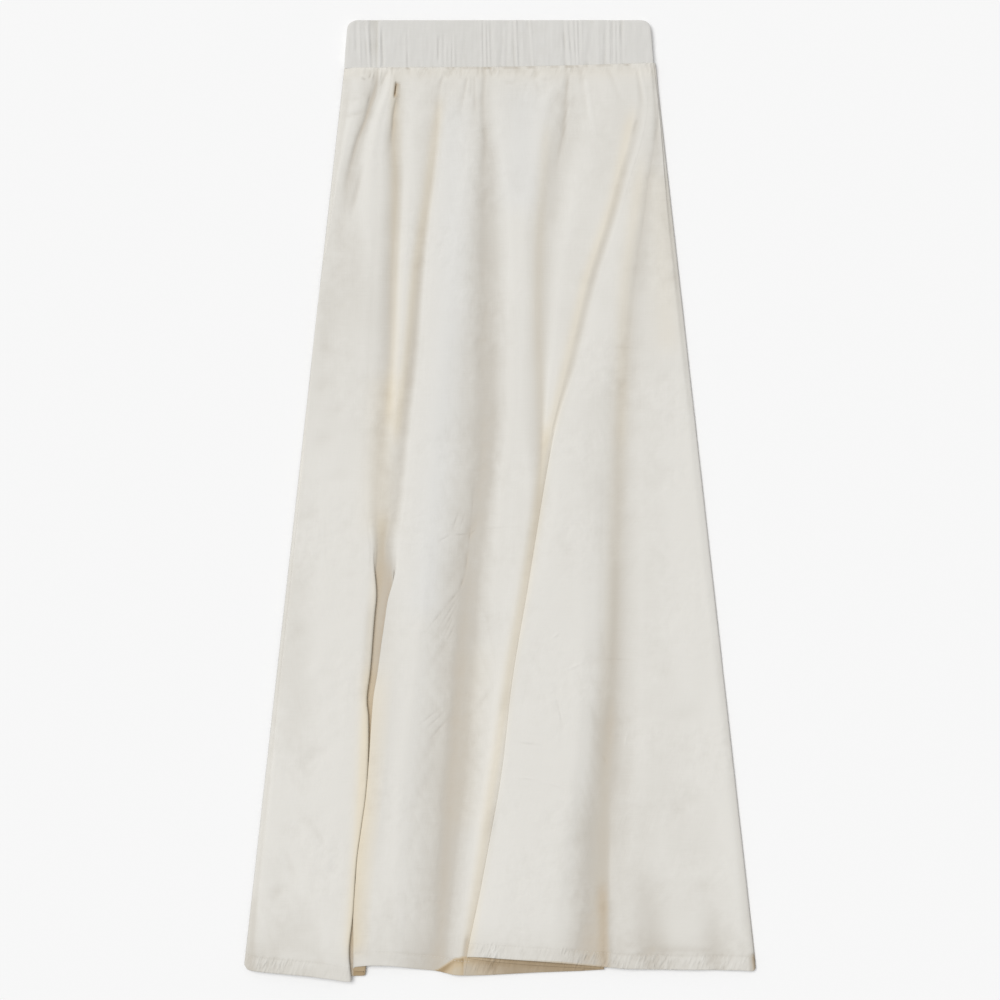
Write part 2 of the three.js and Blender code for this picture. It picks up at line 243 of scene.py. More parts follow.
# Each fold is a line down the front, from left to right: x and z at every station, and how far down it ends.
# Where a fold has its own stations they are its "down", and a lip's height comes from the folds beside it.
foldStations = [46, 64, 90, 120, 160, 200, 260, 330, 400, 475, 560, 650, 750, 850, 935]
valleyStations = [46, 64, 90, 120, 160, 200, 260, 330, 400, 475, 520, 545, 560, 650, 750, 850, 935]
frontFolds = {
    "outer": {
        "x": [-140, -142, -146, -153, -162, -168, -178, -186, -192, -199, -207, -217, -226, -236, -242],
        "z": [7.2, 6.4, 6.3, 6.0, 5.6, 5.4, 5.6, 5.8, 6.0, 6.0, 6.0, 6.0, 6.0, 5.8, 5.4],
        "hem": 940},
    "groove": {
        "x": [-119, -121, -129.5, -140, -150, -158, -166, -173, -180, -185, -190, -200, -208, -216, -223],
        "z": [7.1, 5.3, 4.8, 4.7, 5.1, 5.5, 5.8, 6.2, 6.5, 6.6, 6.6, 6.6, 6.4, 6.2, 5.8],
        "hem": 941.9},
    "leftTop": {
        "down": [46, 64, 90, 120, 160, 200, 260, 330, 400, 475, 520, 560, 600, 650, 750, 850, 935],
        "x": [-110, -110, -118, -124, -128, -130, -132, -136, -139, -139, -131, -134, -142, -150, -154, -164,
              -168],
        "z": [7.6, 7.7, 7.9, 8.0, 7.8, 7.6, 7.4, 7.4, 7.4, 7.6, 7.8, 8.0, 8.1, 8.2, 8.4, 8.2, 7.4],
        "hem": 947.5},
    "leftValley": {
        "down": valleyStations,
        "x": [-104, -103, -104, -106, -102.5, -105, -108, -110, -115, -121.5, -120.5, -123.5, -127, -139,
              -147, -155, -159.5],
        "z": [7.4, 6.4, 5.7, 5.4, 5.3, 5.2, 5.3, 5.5, 5.7, 6.2, 5.0, 3.9, 3.2, 3.0, 3.0, 3.0, 3.0],
        "hem": 947},
    "leftLip": {
        "down": [400, 475, 514, 549, 586, 645, 671, 690, 731, 769, 801, 828, 880, 909, 935],
        "x": [-118, -122, -123.6, -120.7, -124.7, -129.4, -132.6, -131, -131.3, -134.2, -138.7, -142.5,
              -146.6, -150.2, -148],
        "hem": 949.5},
    "crest": {
        "down": [46, 64, 90, 120, 160, 200, 260, 330, 400, 475, 520, 560, 600, 750, 935],
        "x": [-92, -88, -88, -90, -91, -93, -96, -100, -106, -112, -116, -116, -122, -134, -147],
        "z": [7.6, 7.5, 7.6, 7.7, 7.8, 7.8, 7.8, 7.6, 6.9, 6.1, 4.5, 2.4, 2.0, 2.0, 2.0],
        "hem": 945},
    "midValley": {
        "down": valleyStations,
        "x": [-64, -64, -64, -65, -69.5, -75, -81, -87, -95, -103, -113.5, -110, -108.5, -112, -121, -130,
              -135],
        "z": [7.4, 7.3, 7.2, 6.9, 6.6, 6.1, 5.8, 5.6, 5.8, 6.2, 5.0, 3.9, 3.2, 3.0, 3.0, 3.0, 3.0],
        "hem": 944.6},
    "midLip": {
        "down": [400, 475, 514, 549, 586, 616, 645, 671, 731, 769, 801, 828, 850, 880, 909, 935],
        "x": [-96, -104, -111.5, -109.1, -113.5, -117.8, -121.7, -126, -130.2, -133.6, -138.1, -141.9,
              -143.5, -145.8, -145.9, -146.1],
        "hem": 935.7},
    "midRise": {
        "x": [-52, -52, -54, -56, -60, -65, -70, -74, -82, -88, -92, -104, -114, -124, -130],
        "z": [7.6, 7.8, 8.0, 8.2, 8.4, 8.4, 8.4, 8.4, 8.4, 8.6, 8.8, 9.0, 8.8, 7.8, 6.4],
        "hem": 934},
    "midTop": {
        "x": [-38, -36, -34, -33, -37, -42, -50, -60, -67, -72, -78, -88, -100, -106, -110],
        "z": [7.6, 8.0, 8.2, 8.4, 8.6, 8.6, 8.6, 8.6, 8.6, 8.6, 8.8, 9.0, 9.0, 8.2, 6.6],
        "hem": 934.4},
    "midDip": {
        "x": [-16, -15, -15, -15.5, -16.5, -16, -16.5, -18, -17.5, -23.5, -33, -39, -48.5, -55.5, -63],
        "z": [7.4, 7.5, 7.5, 7.0, 5.9, 5.0, 4.3, 3.8, 3.4, 2.9, 2.4, 2.2, 2.1, 2.1, 2.1],
        "hem": 940.3},
    "secondTop": {
        "x": [0, -2, -3, 1, 8, 13, 14, 14, 13, 4, -3, -7, -18, -34, -46],
        "z": [7.6, 8.0, 8.2, 8.4, 8.4, 8.2, 8.0, 8.0, 8.0, 7.8, 7.4, 7.2, 6.8, 6.0, 4.6],
        "hem": 943.7},
    "thirdTop": {
        "x": [48, 43, 40, 35, 27, 21, 19.5, 19.5, 22, 27, 16, 2, -10.5, -27, -42],
        "z": [7.6, 8.0, 8.2, 8.4, 8.4, 8.2, 8.0, 7.9, 7.9, 8.0, 8.2, 8.3, 8.0, 6.8, 4.8],
        "hem": 944},
    "farDip": {
        "x": [68, 65.5, 62, 54, 47.5, 41.3, 38.3, 38.5, 40, 37, 23, 8, -3.5, -20.4, -36],
        "z": [7.4, 7.0, 6.7, 6.4, 6.2, 6.0, 6.1, 6.3, 6.7, 6.5, 7.5, 7.8, 7.5, 6.2, 4.2],
        "hem": 944.2},
    "wedge": {
        "x": [100, 98, 95, 90, 80, 70, 60, 53, 45, 38.6, 24.6, 9.8, -2, -19.6, -35],
        "z": [7.5, 7.8, 8.0, 8.1, 8.2, 8.2, 8.2, 8.2, 8.0, 6.4, 7.4, 7.7, 7.4, 6.1, 3.7],
        "hem": 944.3},
    "brink": {
        "x": [126, 127, 127, 121, 109, 99.5, 81, 65, 48.6, 39.4, 25.6, 10.8, -1.2, -18.8, -34.4],
        "z": [7.5, 7.4, 7.4, 7.7, 7.9, 8.0, 8.1, 8.2, 8.2, 6.4, 7.3, 7.7, 7.3, 6.0, 3.6],
        "hem": 944.4},
    "pleatEdge": {
        "x": [139, 140, 139, 132.5, 120, 109.5, 91, 74, 53.6, 40.7, 27, 12, 0, -18, -33.6],
        "groove": [0, 0.2, 0.4, 0.6, 0.8, 1.1, 1.0, 0.8, 0.8, 0.7, 0.7, 0.7, 0.7, 0.7, 0.7],
        "hem": 925.3},
    "rightTop": {
        "x": [147, 147, 147, 142, 130, 120, 101, 84, 66, 56, 43, 30, 20, 6, -4],
        "z": [7.3, 6.9, 6.7, 6.8, 7.4, 8.0, 8.5, 8.9, 9.1, 9.2, 9.2, 9.2, 9.2, 9.1, 8.8],
        "hem": 926.6},
    "farCrest": {
        "x": [148, 149, 149.5, 146, 137, 131, 114, 98, 78, 72, 78, 78, 68, 54, 50],
        "z": [7.1, 6.7, 6.5, 6.5, 7.0, 7.5, 8.0, 8.4, 8.8, 8.8, 8.6, 8.6, 8.6, 8.6, 8.4],
        "hem": 930.5},
    "rightValley": {
        "x": [149, 151, 153.5, 152.5, 146.5, 141.5, 133, 126, 119, 118, 115.5, 113, 106.5, 105, 104.5],
        "z": [6.9, 6.0, 5.4, 5.3, 5.6, 5.9, 5.8, 5.2, 4.3, 3.7, 3.1, 2.6, 2.3, 2.3, 4.3],
        "hem": 936},
    "farTop": {
        "x": [150, 152.3, 155, 155.5, 153.5, 151, 149, 147, 143, 142, 142, 143, 140, 132, 126],
        "z": [6.6, 5.7, 5.2, 5.1, 5.7, 6.1, 6.0, 5.7, 5.4, 5.2, 5.0, 4.9, 4.8, 4.8, 5.3],
        "hem": 937.6},
    "sideTop": {
        "x": [150.8, 153.2, 156.4, 159, 162, 165, 171, 178, 185, 193, 202, 212, 222, 232, 237],
        "z": [6.2, 5.3, 4.8, 4.8, 5.1, 5.2, 5.1, 5.0, 4.9, 4.8, 4.8, 4.8, 4.8, 4.7, 4.3],
        "hem": 939.2},
}

# What forms gradually on the way down: how far down it starts, and over how much of the panel.
stages = {
    "inverted": (518, 60),  # the inverted pleat, left of the middle, folds up
    "sidesClose": (690, 70),  # its two sides come together
    "lipLower": (700, 80),  # the lip nearer the middle sinks a little
    "floorDrops": (860, 60),  # its floor sinks again towards the hem
    "midSlope": (450, 150),  # the slope beside it gets steeper
    "knifeNarrow": (320, 80),  # the knife pleat, across from the right hip, is first a groove that narrows
    "knifeRaised": (375, 75),  # its upper layer lifts
    "knife": (405, 70),  # and folds over the lower one
    "knifeDeep": (330, 260),  # its hidden fold reaches further under
    "knifeCovered": (840, 80),  # and furthest at the hem
    "knifeStands": (865, 70),  # where the pleat stands further open
    "farSlope": (560, 280),  # the slope down to the right valley gets steeper
    "farSharp": (740, 120),  # and so does the far side of that valley
}

# Each side edge's way up from the back panel: in from the edge, up, further up at the band, hem, facets.
leftSide = [(0, 0, 1, 934.5, 1), (0.7, 1.1, 2.4, 934.9, 2), (3.2, 2.0, 2.6, 938.5, 3)]
rightSide = [(3.2, 2.2, 1.8, 940, 2), (0.7, 1.2, 2.0, 938.4, 1), (0, 0, 1, 937, 1)]


def reached(stage, down):
    start, over = stages[stage]
    return smooth((down - start) / over)


# inner is 1 on cloth that lies hidden in a pleat
def key(x, z, hem, inner=0, facets=None):
    return {"x": x, "z": z, "hem": hem, "inner": inner, "facets": facets}


# cloth bent half round at x; roll is how far the bend reaches across, and facing says which way it bulges
def bend(x, facing, start, end, roll=None):
    roll = np.abs(end["z"] - start["z"]) / 2 if roll is None else roll
    points = []
    for t in np.linspace(0, 1, frontCloth["bendFacets"] + 1):
        aside = facing * roll * (1 - math.sin(math.pi * t))
        z = mix(start["z"], end["z"], (1 - math.cos(math.pi * t)) / 2)
        hem, inner = (mix(start[name], end[name], t) for name in ("hem", "inner"))
        points.append(key(x - aside, z, hem, inner, 1))
    points[-1]["facets"] = 3
    return points


# a fold that forms gradually, from a plain stretch between start and end, each (x, z), with a groove in its
# middle; folded says how far it has formed
def forming(points, start, end, folded, groove=0):
    for i, p in enumerate(points):
        t = i / (len(points) - 1)
        p["x"] = mix(mix(start[0], end[0], t), p["x"], folded)
        p["z"] = mix(mix(start[1], end[1], smooth(t)) - groove * math.sin(math.pi * t) ** 2, p["z"], folded)
        p["inner"] = p["inner"] * folded
    return points


# one side of the inverted pleat, from its ridge down to its floor; brink is where it starts while it is open
def pleatSide(facing, lip, topZ, valley, floor, brink, folded, lipHem, floorHem, roll):
    back = floor + frontCloth["layer"]
    middle = mix(lipHem, floorHem, 0.5)
    points = [
        *bend(lip["x"], facing, key(0, topZ, lipHem), key(0, back, middle, 1), roll),
        *bend(valley["x"], -facing, key(0, back, middle, 1), key(0, floor, floorHem, 1)),
    ]
    return forming(points, brink, (valley["x"], valley["z"]), folded)


# the knife pleat's fold, from the cloth before it, under its edge as far as inner and back out to its upper
# layer
def knifePleat(edge, inner, under, low, lipTop, topHem, roll, start, end, folded, groove):
    layer = frontCloth["layer"]
    sag = mix(under, low, 0.7)
    points = [
        key(edge - 0.5, under, 944.5, 0, 3),
        key(mix(edge - 1, inner, 0.5), sag, 941.7, 1, 3),
        *bend(inner, 1, key(0, low, 938.8, 1), key(0, low + layer, 938.4, 1)),
        key(mix(edge + 1, inner - 1, 0.5), sag + layer, 934.3, 1, 3),
        *bend(edge, -1, key(0, under + layer, 927, 1), key(0, lipTop, topHem), roll),
    ]
    return forming(points, start, end, folded, groove)


def sideEdge(x, facing, steps, nearBand):
    points = []
    for away, up, more, hem, facets in steps:
        points.append(key(x + facing * away, frontCloth["sideZ"] + up + more * nearBand, hem, 0, facets))
    return points


# the key points across the front, from its left edge to its right one, for every row at once; a number over
# 900 is how far down that point ends
def frontSection(down):
    at = {}
    for name, f in frontFolds.items():
        stations = f.get("down", foldStations)
        at[name] = {k: along(f[k], stations, down) for k in ("x", "z", "groove") if k in f}
        at[name]["hem"] = f["hem"]

    def fold(name):
        return key(at[name]["x"], at[name]["z"], at[name]["hem"])

    # a point between two folds, t of the way across and u of the way in height
    def between(a, b, t, u, hem=None):
        hem = mix(at[a]["hem"], at[b]["hem"], t) if hem is None else hem
        return key(mix(at[a]["x"], at[b]["x"], t), mix(at[a].get("z", 0), at[b]["z"], u), hem)

    def brinkOf(top, valley):
        return mix(at[valley]["x"], at[top]["x"], 0.7), mix(at[valley]["z"], at[top]["z"], 0.82)

    layer, floor = frontCloth["layer"], frontCloth["floor"]
    half = halfWidth(down)
    nearBand = 1 - smooth((down - seamDown) / 36)
    edge = at["pleatEdge"]["x"]
    far, top, shoulder, brink = (at[name] for name in ("rightValley", "rightTop", "farCrest", "brink"))
    raised, knife = reached("knifeRaised", down), reached("knife", down)

    # the knife pleat's hidden fold lies under the front of the valley's slope, and at the hem reaches further
    cover = mix(mix(shoulder["x"], far["x"], 0.38), far["x"] - 3.5, reached("knifeCovered", down))
    inner = edge + mix(7, cover - edge, reached("knifeDeep", down))
    under = brink["z"] - 0.1
    low = mix(under, floor, smooth((inner - edge) / 45))
    stack = low + 2 * layer + 0.35
    lipTop = under + 2 * layer + 2.4 * reached("knifeStands", down)
    topZ = np.maximum(top["z"], mix(0, stack + 0.5, raised))

    # before it folds, the pleat is a plain stretch between these two places
    opening = mix(7, 2.6, reached("knifeNarrow", down))
    openEnd = np.minimum(edge + opening, mix(edge, top["x"], 0.7) - 0.8)
    endZ = mix(mix(brink["z"], top["z"], 0.7), lipTop, raised)
    brinkX = mix(edge - opening - 1.2, brink["x"], knife)
    wedgeX = np.minimum(at["wedge"]["x"], brinkX - 0.8)

    # the slope down to the right valley keeps clear of the hidden fold
    steeper = reached("farSlope", down)
    slope = []
    for t, gentle, steep, hem in ((0.4, 0.3, 0.46, 932.6), (0.72, 0.68, 0.86, 934.5)):
        x = mix(shoulder["x"], far["x"], t)
        z = mix(shoulder["z"], far["z"], mix(gentle, steep, steeper))
        slope.append(key(x, np.maximum(z, mix(0, stack + 0.1, smooth((inner + 3 - x) / 4))), hem))

    # the inverted pleat gets shallower where it closes
    inverted, closed, flatter = (reached(stage, down) for stage in ("inverted", "sidesClose", "floorDrops"))
    pleatFloor = floor + mix(1.2, 2.6, closed) * (1 - 0.75 * flatter)
    leftZ = at["leftTop"]["z"] - 0.2
    midZ = at["midRise"]["z"] - mix(1.0, 1.6, reached("lipLower", down))
    leftBrink, midBrink = brinkOf("leftTop", "leftValley"), brinkOf("midRise", "midValley")
    midSlope, farSharp = reached("midSlope", down), reached("farSharp", down)
    return [
        *sideEdge(-half, 1, leftSide, nearBand),
        fold("outer"),
        fold("groove"),
        between("groove", "leftTop", 0.55, 0.62, 944.5),
        fold("leftTop"),
        *pleatSide(1, at["leftLip"], leftZ, at["leftValley"], pleatFloor, leftBrink, inverted, 950, 946,
                   mix(4.5, 1.8, closed)),
        fold("crest") | {"inner": inverted, "z": np.maximum(at["crest"]["z"], pleatFloor)},
        *pleatSide(-1, at["midLip"], midZ, at["midValley"], pleatFloor, midBrink, inverted, 935.7, 944.6,
                   mix(1.3, 1.8, closed))[::-1],
        fold("midRise"),
        fold("midTop"),
        between("midTop", "midDip", 0.36, mix(0.28, 0.42, midSlope)),
        between("midTop", "midDip", 0.68, mix(0.68, 0.8, midSlope)),
        fold("midDip"),
        between("midDip", "secondTop", 0.27, 0.12),
        between("midDip", "secondTop", 0.62, 0.6),
        fold("secondTop"),
        fold("thirdTop"),
        between("thirdTop", "farDip", 0.55, 0.5),
        fold("farDip") | {"facets": 13},
        fold("wedge") | {"x": wedgeX, "facets": 11},
        fold("brink") | {"x": brinkX},
        *knifePleat(edge, inner, under, low, lipTop, 925.3, 1.2, (edge - opening, brink["z"]),
                    (openEnd, endZ), knife, at["pleatEdge"]["groove"]),
        between("pleatEdge", "rightTop", 0.7, 0.3, 925.8) | {"z": mix(endZ, topZ, mix(0.5, 0.75, raised))},
        fold("rightTop") | {"z": topZ},
        fold("farCrest"),
        *slope,
        fold("rightValley"),
        between("rightValley", "farTop", 0.14, mix(0.1, 0.5, farSharp), 936.1),
        between("rightValley", "farTop", 0.5, mix(0.55, 0.72, farSharp), 936.8),
        fold("farTop"),
        fold("sideTop"),
        *sideEdge(half - frontCloth["rightInset"], -1, rightSide, nearBand),
    ]


def rowDowns():
    spaced = [np.arange(start, end, step) for start, end, step in frontCloth["rowSteps"]]
    hemStart = frontCloth["rowSteps"][-1][1]
    return np.concatenate([*spaced, np.linspace(hemStart, hemDown, frontCloth["hemRows"])])


# The seam under the band runs slightly uphill to the right.
seamLine = {"x": [-155, -50, 20, 80, 155], "offset": [2.2, 1.8, 1.2, -0.3, -2.6]}


def seamOffset(x):
    return np.interp(x, seamLine["x"], seamLine["offset"])


# the hem is turned up inside: the grid bends round under its own edge and runs back up
def turnedHem(points, normals, depth, radius):
    edge, n = points[-1], normals[-1]
    away = points[-1] - points[-2]
    away /= np.linalg.norm(away, axis=1, keepdims=True)
    centre = edge - n * radius
    turns = np.radians([30, 60, 90, 120, 150, 180])
    rounds = [centre + radius * (n * math.cos(a) + away * math.sin(a)) for a in turns]
    rise = np.linalg.norm(points[-1] - points, axis=2).mean(axis=1)
    back = [points[i] - 2 * radius * normals[i] for i in range(len(points) - 2, 0, -1) if rise[i] < depth]
    return np.concatenate([points, np.array(rounds), np.array(back)])


# Gathers that run down from the band's seam: a line of (x, down), its width and depth (a ridge is negative).
seamGathers = [
    ([(-130.3, 50), (-131, 58)], 1.3, 0.9),
    ([(-122.4, 47), (-123.6, 64), (-125.5, 75), (-130.5, 88), (-135.5, 103), (-142, 118), (-148, 140),
      (-153, 162)], 1.7, 1.3),
    ([(-118.6, 50), (-119.4, 66), (-122, 76), (-127, 90)], 1.6, -0.6),
    ([(-113, 52), (-115.5, 59), (-119, 66)], 1.5, 0.7),
    ([(-103.4, 63), (-105.2, 76)], 0.6, 3.0),
    ([(-102, 74), (-104, 83), (-106.2, 94), (-106.4, 104), (-108, 120)], 1.6, 1.1),
    ([(-57.5, 57), (-61, 69), (-62.8, 82), (-63.5, 101), (-67, 118)], 2.8, 0.3),
    ([(-55, 52), (-59, 62), (-60, 68)], 1.8, 0.4),
    ([(-50, 50), (-53.5, 60), (-55.5, 69)], 1.2, 0.6),
    ([(-33.4, 58), (-36.7, 75), (-41, 92)], 1.6, 0.7),
    ([(-29, 58), (-29.5, 76)], 1.3, 0.4),
    ([(-26, 58), (-25.4, 92)], 1.5, 0.5),
    ([(-15, 47), (-16.8, 64), (-18, 82), (-16.8, 106), (-15, 120), (-16, 140)], 2.4, 0.65),
    ([(22.9, 50), (23.4, 72)], 1.4, 0.6),
    ([(33.6, 50), (34.8, 64), (37, 72)], 1.4, 0.7),
    ([(65.4, 48), (65.4, 69), (63.5, 94), (61.5, 116), (55, 142)], 1.7, 1.2),
    ([(58, 72), (49, 94), (44, 108), (41, 132)], 3.6, 0.3),
    ([(79.9, 47), (79.9, 66)], 2.0, 0.6),
    ([(83, 74), (85.2, 98)], 2.4, 0.4),
    ([(84, 60), (87, 82), (89.5, 106)], 2.2, -0.5),
    ([(104.7, 48), (110, 59), (113.4, 69), (118.6, 82)], 2.4, 0.5),
    ([(137.6, 48), (140.5, 64), (143.5, 84)], 2.0, -0.45),
    ([(134, 48), (137, 64), (140, 82)], 2.2, 0.35),
    ([(134.6, 100), (130.5, 116)], 2.2, 0.5),
    ([(149.5, 46), (152.6, 59), (154.4, 70)], 2.2, 0.5),
    ([(157, 82), (155.4, 106), (153, 120)], 1.8, 0.5),
]

# Short puckers just under the seam: x, lean, length, width, depth.
puckers = [
    (-146.5, 1, 8, 1.3, 0.6),
    (-140.5, -1, 10, 1.4, 0.6),
    (-135.5, 1, 7, 1.1, 0.5),
    (-111, -1, 10, 1.2, 0.5),
    (-107, 0, 7, 1.1, 0.5),
    (-98.5, 1, 8, 1.3, 0.5),
    (-94.6, 1.5, 6, 1.1, 0.8),
    (-91.4, 2, 8, 1.1, 0.9),
    (-86, 0, 6, 1.2, 0.4),
    (-79, -1, 12, 1.4, 0.5),
    (-74.5, -3, 9, 1.2, 0.6),
    (-69.5, -2, 7, 1.2, 0.5),
    (-47.2, -2, 8, 1.1, 0.8),
    (-43.5, -1, 7, 1.1, 0.5),
    (-39.5, 1, 12, 1.3, 0.5),
    (-22, 0, 8, 1.2, 0.5),
    (-18.5, 1, 6, 1.1, 0.8),
    (-10.5, 1.5, 8, 1.1, 0.9),
    (-6.5, 1, 6, 1.1, 0.6),
    (-1, 0, 9, 1.3, 0.5),
    (6, 1, 7, 1.2, 0.5),
    (15, 1, 11, 1.3, 0.6),
    (19, -0.5, 6, 1.1, 0.5),
    (29, 0, 7, 1.2, 0.5),
    (44, 0, 6, 1.2, 0.4),
    (51, -1, 8, 2.4, 0.35),
    (57, -1, 10, 2.4, 0.35),
    (69.6, 0.5, 9, 1.1, 0.9),
    (72.5, 0, 7, 1.0, 0.7),
    (76, 1, 8, 2.2, 0.6),
    (84, 2, 7, 2.4, 0.5),
    (91, 1, 8, 2.4, 0.4),
    (98.5, 0, 6, 2.4, 0.35),
    (118.5, 2, 8, 2.4, 0.5),
    (126.5, 1, 9, 2.4, 0.5),
    (145, 1, 7, 1.2, 0.5),
]

# Where the seam opens into a short gap between two gathers, with painted shade in it: from x to x, and how
# much.
seamGaps = [
    (-109.5, -99.6, 0.5),
    (-93.7, -91.2, 1.0),
    (-52.4, -50.6, 1.0),
    (-47.2, -45.4, 0.9),
    (-38.4, -21.5, 0.5),
    (-17.6, -8.7, 0.9),
    (3.2, 19, 0.8),
    (24.9, 33.8, 0.8),
    (49.6, 58.5, 0.5),
    (63.5, 70.4, 1.2),
    (74.4, 76.2, 0.8),
    (83.2, 85.2, 0.9),
    (93.1, 109.9, 0.6),
    (121.8, 127.7, 0.8),
]

# Soft wrinkles across the panel: start and end as (x, down), width, depth and how far the line bows.
wrinkles = [
    ((-157, 99), (-133, 91), 2.2, 1.0, 1.5),
    ((-150, 80), (-136, 77), 2.0, 0.5, 0),
    ((0, 62), (16, 62.5), 1.5, 0.6, 0),
    ((38, 60), (51, 59), 1.5, 0.6, 0),
    ((-168, 146), (-160, 172), 2.2, 0.4, 0),
    ((-134, 134), (-150, 200), 2.6, 0.9, 0),
    ((-156, 128), (-146, 205), 7, 0.3, 0),
    ((-196, 654), (-164, 624), 4, -0.5, 0),
    ((-198, 796), (-176, 824), 3.0, -0.6, 0),
    ((-190, 792), (-168, 822), 3.5, 0.6, 0),
    ((-168, 816), (-163, 858), 4, 0.5, 0),
    ((-230, 806), (-212, 834), 3.2, -0.5, 0),
    ((-214, 818), (-199, 858), 4, 0.5, 0),
    ((-196, 372), (-160, 356), 6, 0.4, 2),
    ((-190, 420), (-158, 410), 7, 0.5, 2),
    ((-185, 462), (-140, 448), 7, 0.5, 3),
    ((-172, 545), (-130, 552), 5, 0.5, 0),
    ((-186, 640), (-138, 622), 7, 0.5, 3),
    ((-192, 690), (-146, 664), 6, 0.5, 2),
    ((-212, 742), (-160, 716), 8, 0.6, 3),
    ((-198, 800), (-152, 770), 6, 0.4, 2),
    ((-232, 874), (-206, 850), 5, 0.7, 1),
    ((-182, 330), (-158, 318), 5, 0.4, 1),
    ((-176, 392), (-148, 381), 4, 0.35, 1),
    ((-206, 500), (-170, 482), 6, 0.4, 2),
    ((-164, 500), (-142, 494), 4, 0.35, 0),
    ((-160, 596), (-136, 583), 4.5, 0.4, 1),
    ((-214, 612), (-186, 596), 7, 0.4, 1),
    ((-180, 724), (-150, 706), 5, 0.4, 1),
    ((-222, 812), (-190, 790), 7, 0.4, 2),
    ((-186, 852), (-156, 836), 6, 0.4, 1),
    ((-210, 905), (-176, 892), 6, 0.35, 1),
    ((-118, 452), (-100, 440), 4, 0.3, 0),
    ((-60, 300), (-34, 290), 4.5, 0.3, 1),
    ((-70, 420), (-44, 404), 5, 0.3, 1),
    ((72, 560), (104, 548), 5, 0.35, 1),
    ((18, 590), (50, 577), 5, 0.3, 1),
    ((-4, 860), (44, 846), 6, 0.3, 2),
    ((158, 590), (196, 574), 7, 0.35, 2),
    ((166, 780), (214, 760), 8, 0.4, 2),
    ((178, 868), (224, 850), 7, 0.4, 2),
    ((-54, 552), (-14, 478), 3.4, 0.5, 2),
    ((-62, 575), (-22, 510), 3.0, 0.4, 1),
    ((-74, 612), (-38, 560), 2.8, 0.5, 1),
    ((-78, 634), (-40, 575), 2.6, 0.4, 1),
    ((-80, 656), (-42, 596), 2.6, 0.4, 1),
    ((-86, 752), (-54, 690), 3.0, 0.4, 1),
    ((-92, 790), (-60, 726), 3.0, 0.4, 1),
    ((-104, 842), (-64, 776), 4, 0.4, 2),
    ((10, 650), (-8, 700), 5, 0.6, 2),
    ((-5, 770), (-20, 818), 5, 0.5, 2),
    ((28, 722), (60, 728), 3.5, 0.45, -2),
    ((34, 760), (78, 768), 3.5, 0.5, 2),
    ((70, 642), (104, 632), 3.2, 0.5, 2),
    ((88, 665), (96, 712), 3.0, 0.4, 0),
    ((52, 830), (92, 800), 6, 0.5, 2),
    ((100, 324), (140, 328), 3.2, 0.25, 0),
    ((120, 240), (150, 262), 5, 0.15, 0),
    ((190, 560), (214, 610), 8, 0.6, 0),
    ((149, 815), (158, 1010), 18, 1.3, 0),
    ((206, 835), (217, 1010), 12, 1.1, 0),
    ((140, 470), (190, 440), 9, 0.4, 3),
    ((150, 700), (210, 680), 9, 0.4, 3),
]

# Painted shade in the cloth's hollows and towards the hem, and painted light where an amount is negative:
# soft lines as (x, down) to (x, down), their width and how much is added to the shade value.
paintedShades = [
    ((-32, 500), (-68, 990), 8, 0.16),
    ((86, 730), (74, 1010), 17, 0.22),
    ((110, 640), (146, 1010), 22, 0.13),
    ((-150, 195), (-126, 325), 14, 0.09),
    ((-247, 850), (-243, 975), 8, 0.15),
    ((-200, 520), (-214, 690), 12, 0.08),
    ((-210, 700), (-204, 890), 17, -0.14),
    ((-226, 928), (-176, 930), 9, -0.14),
    ((100, 590), (94, 770), 14, 0.12),
    ((-163, 630), (-162, 730), 9, -0.12),
    ((4, 250), (-3, 440), 13, 0.12),
    ((-1, 380), (-12, 660), 13, 0.09),
    ((-24, 640), (-47, 960), 10, 0.13),
    ((-109, 510), (-129, 800), 8, 0.16),
    ((-160, 890), (-90, 890), 26, 0.12),
    ((-33, 900), (-38, 950), 2.5, 0.35),
    ((100, 840), (104, 1000), 6.5, 0.6),
    ((84, 870), (92, 975), 9, 0.2),
    ((176, 330), (228, 910), 34, -0.13),
    ((132, 919), (220, 919.5), 3.2, 0.12),
    ((250.5, 921), (252.5, 944), 3, 1.2),
    ((-115, 545), (-131, 690), 5, -0.2),
    ((-128.5, 560), (-138, 690), 4.5, 0.25),
    ((-106, 560), (-131, 890), 11, 0.17),
    ((-103.4, 60), (-105, 78), 1.7, 0.9),
    ((-168, 330), (-162, 940), 26, -0.16),
    ((186, 210), (196, 700), 30, -0.11),
    ((-97, 230), (-105, 380), 5, -0.12),
    ((52, 330), (44, 420), 5, -0.12),
]

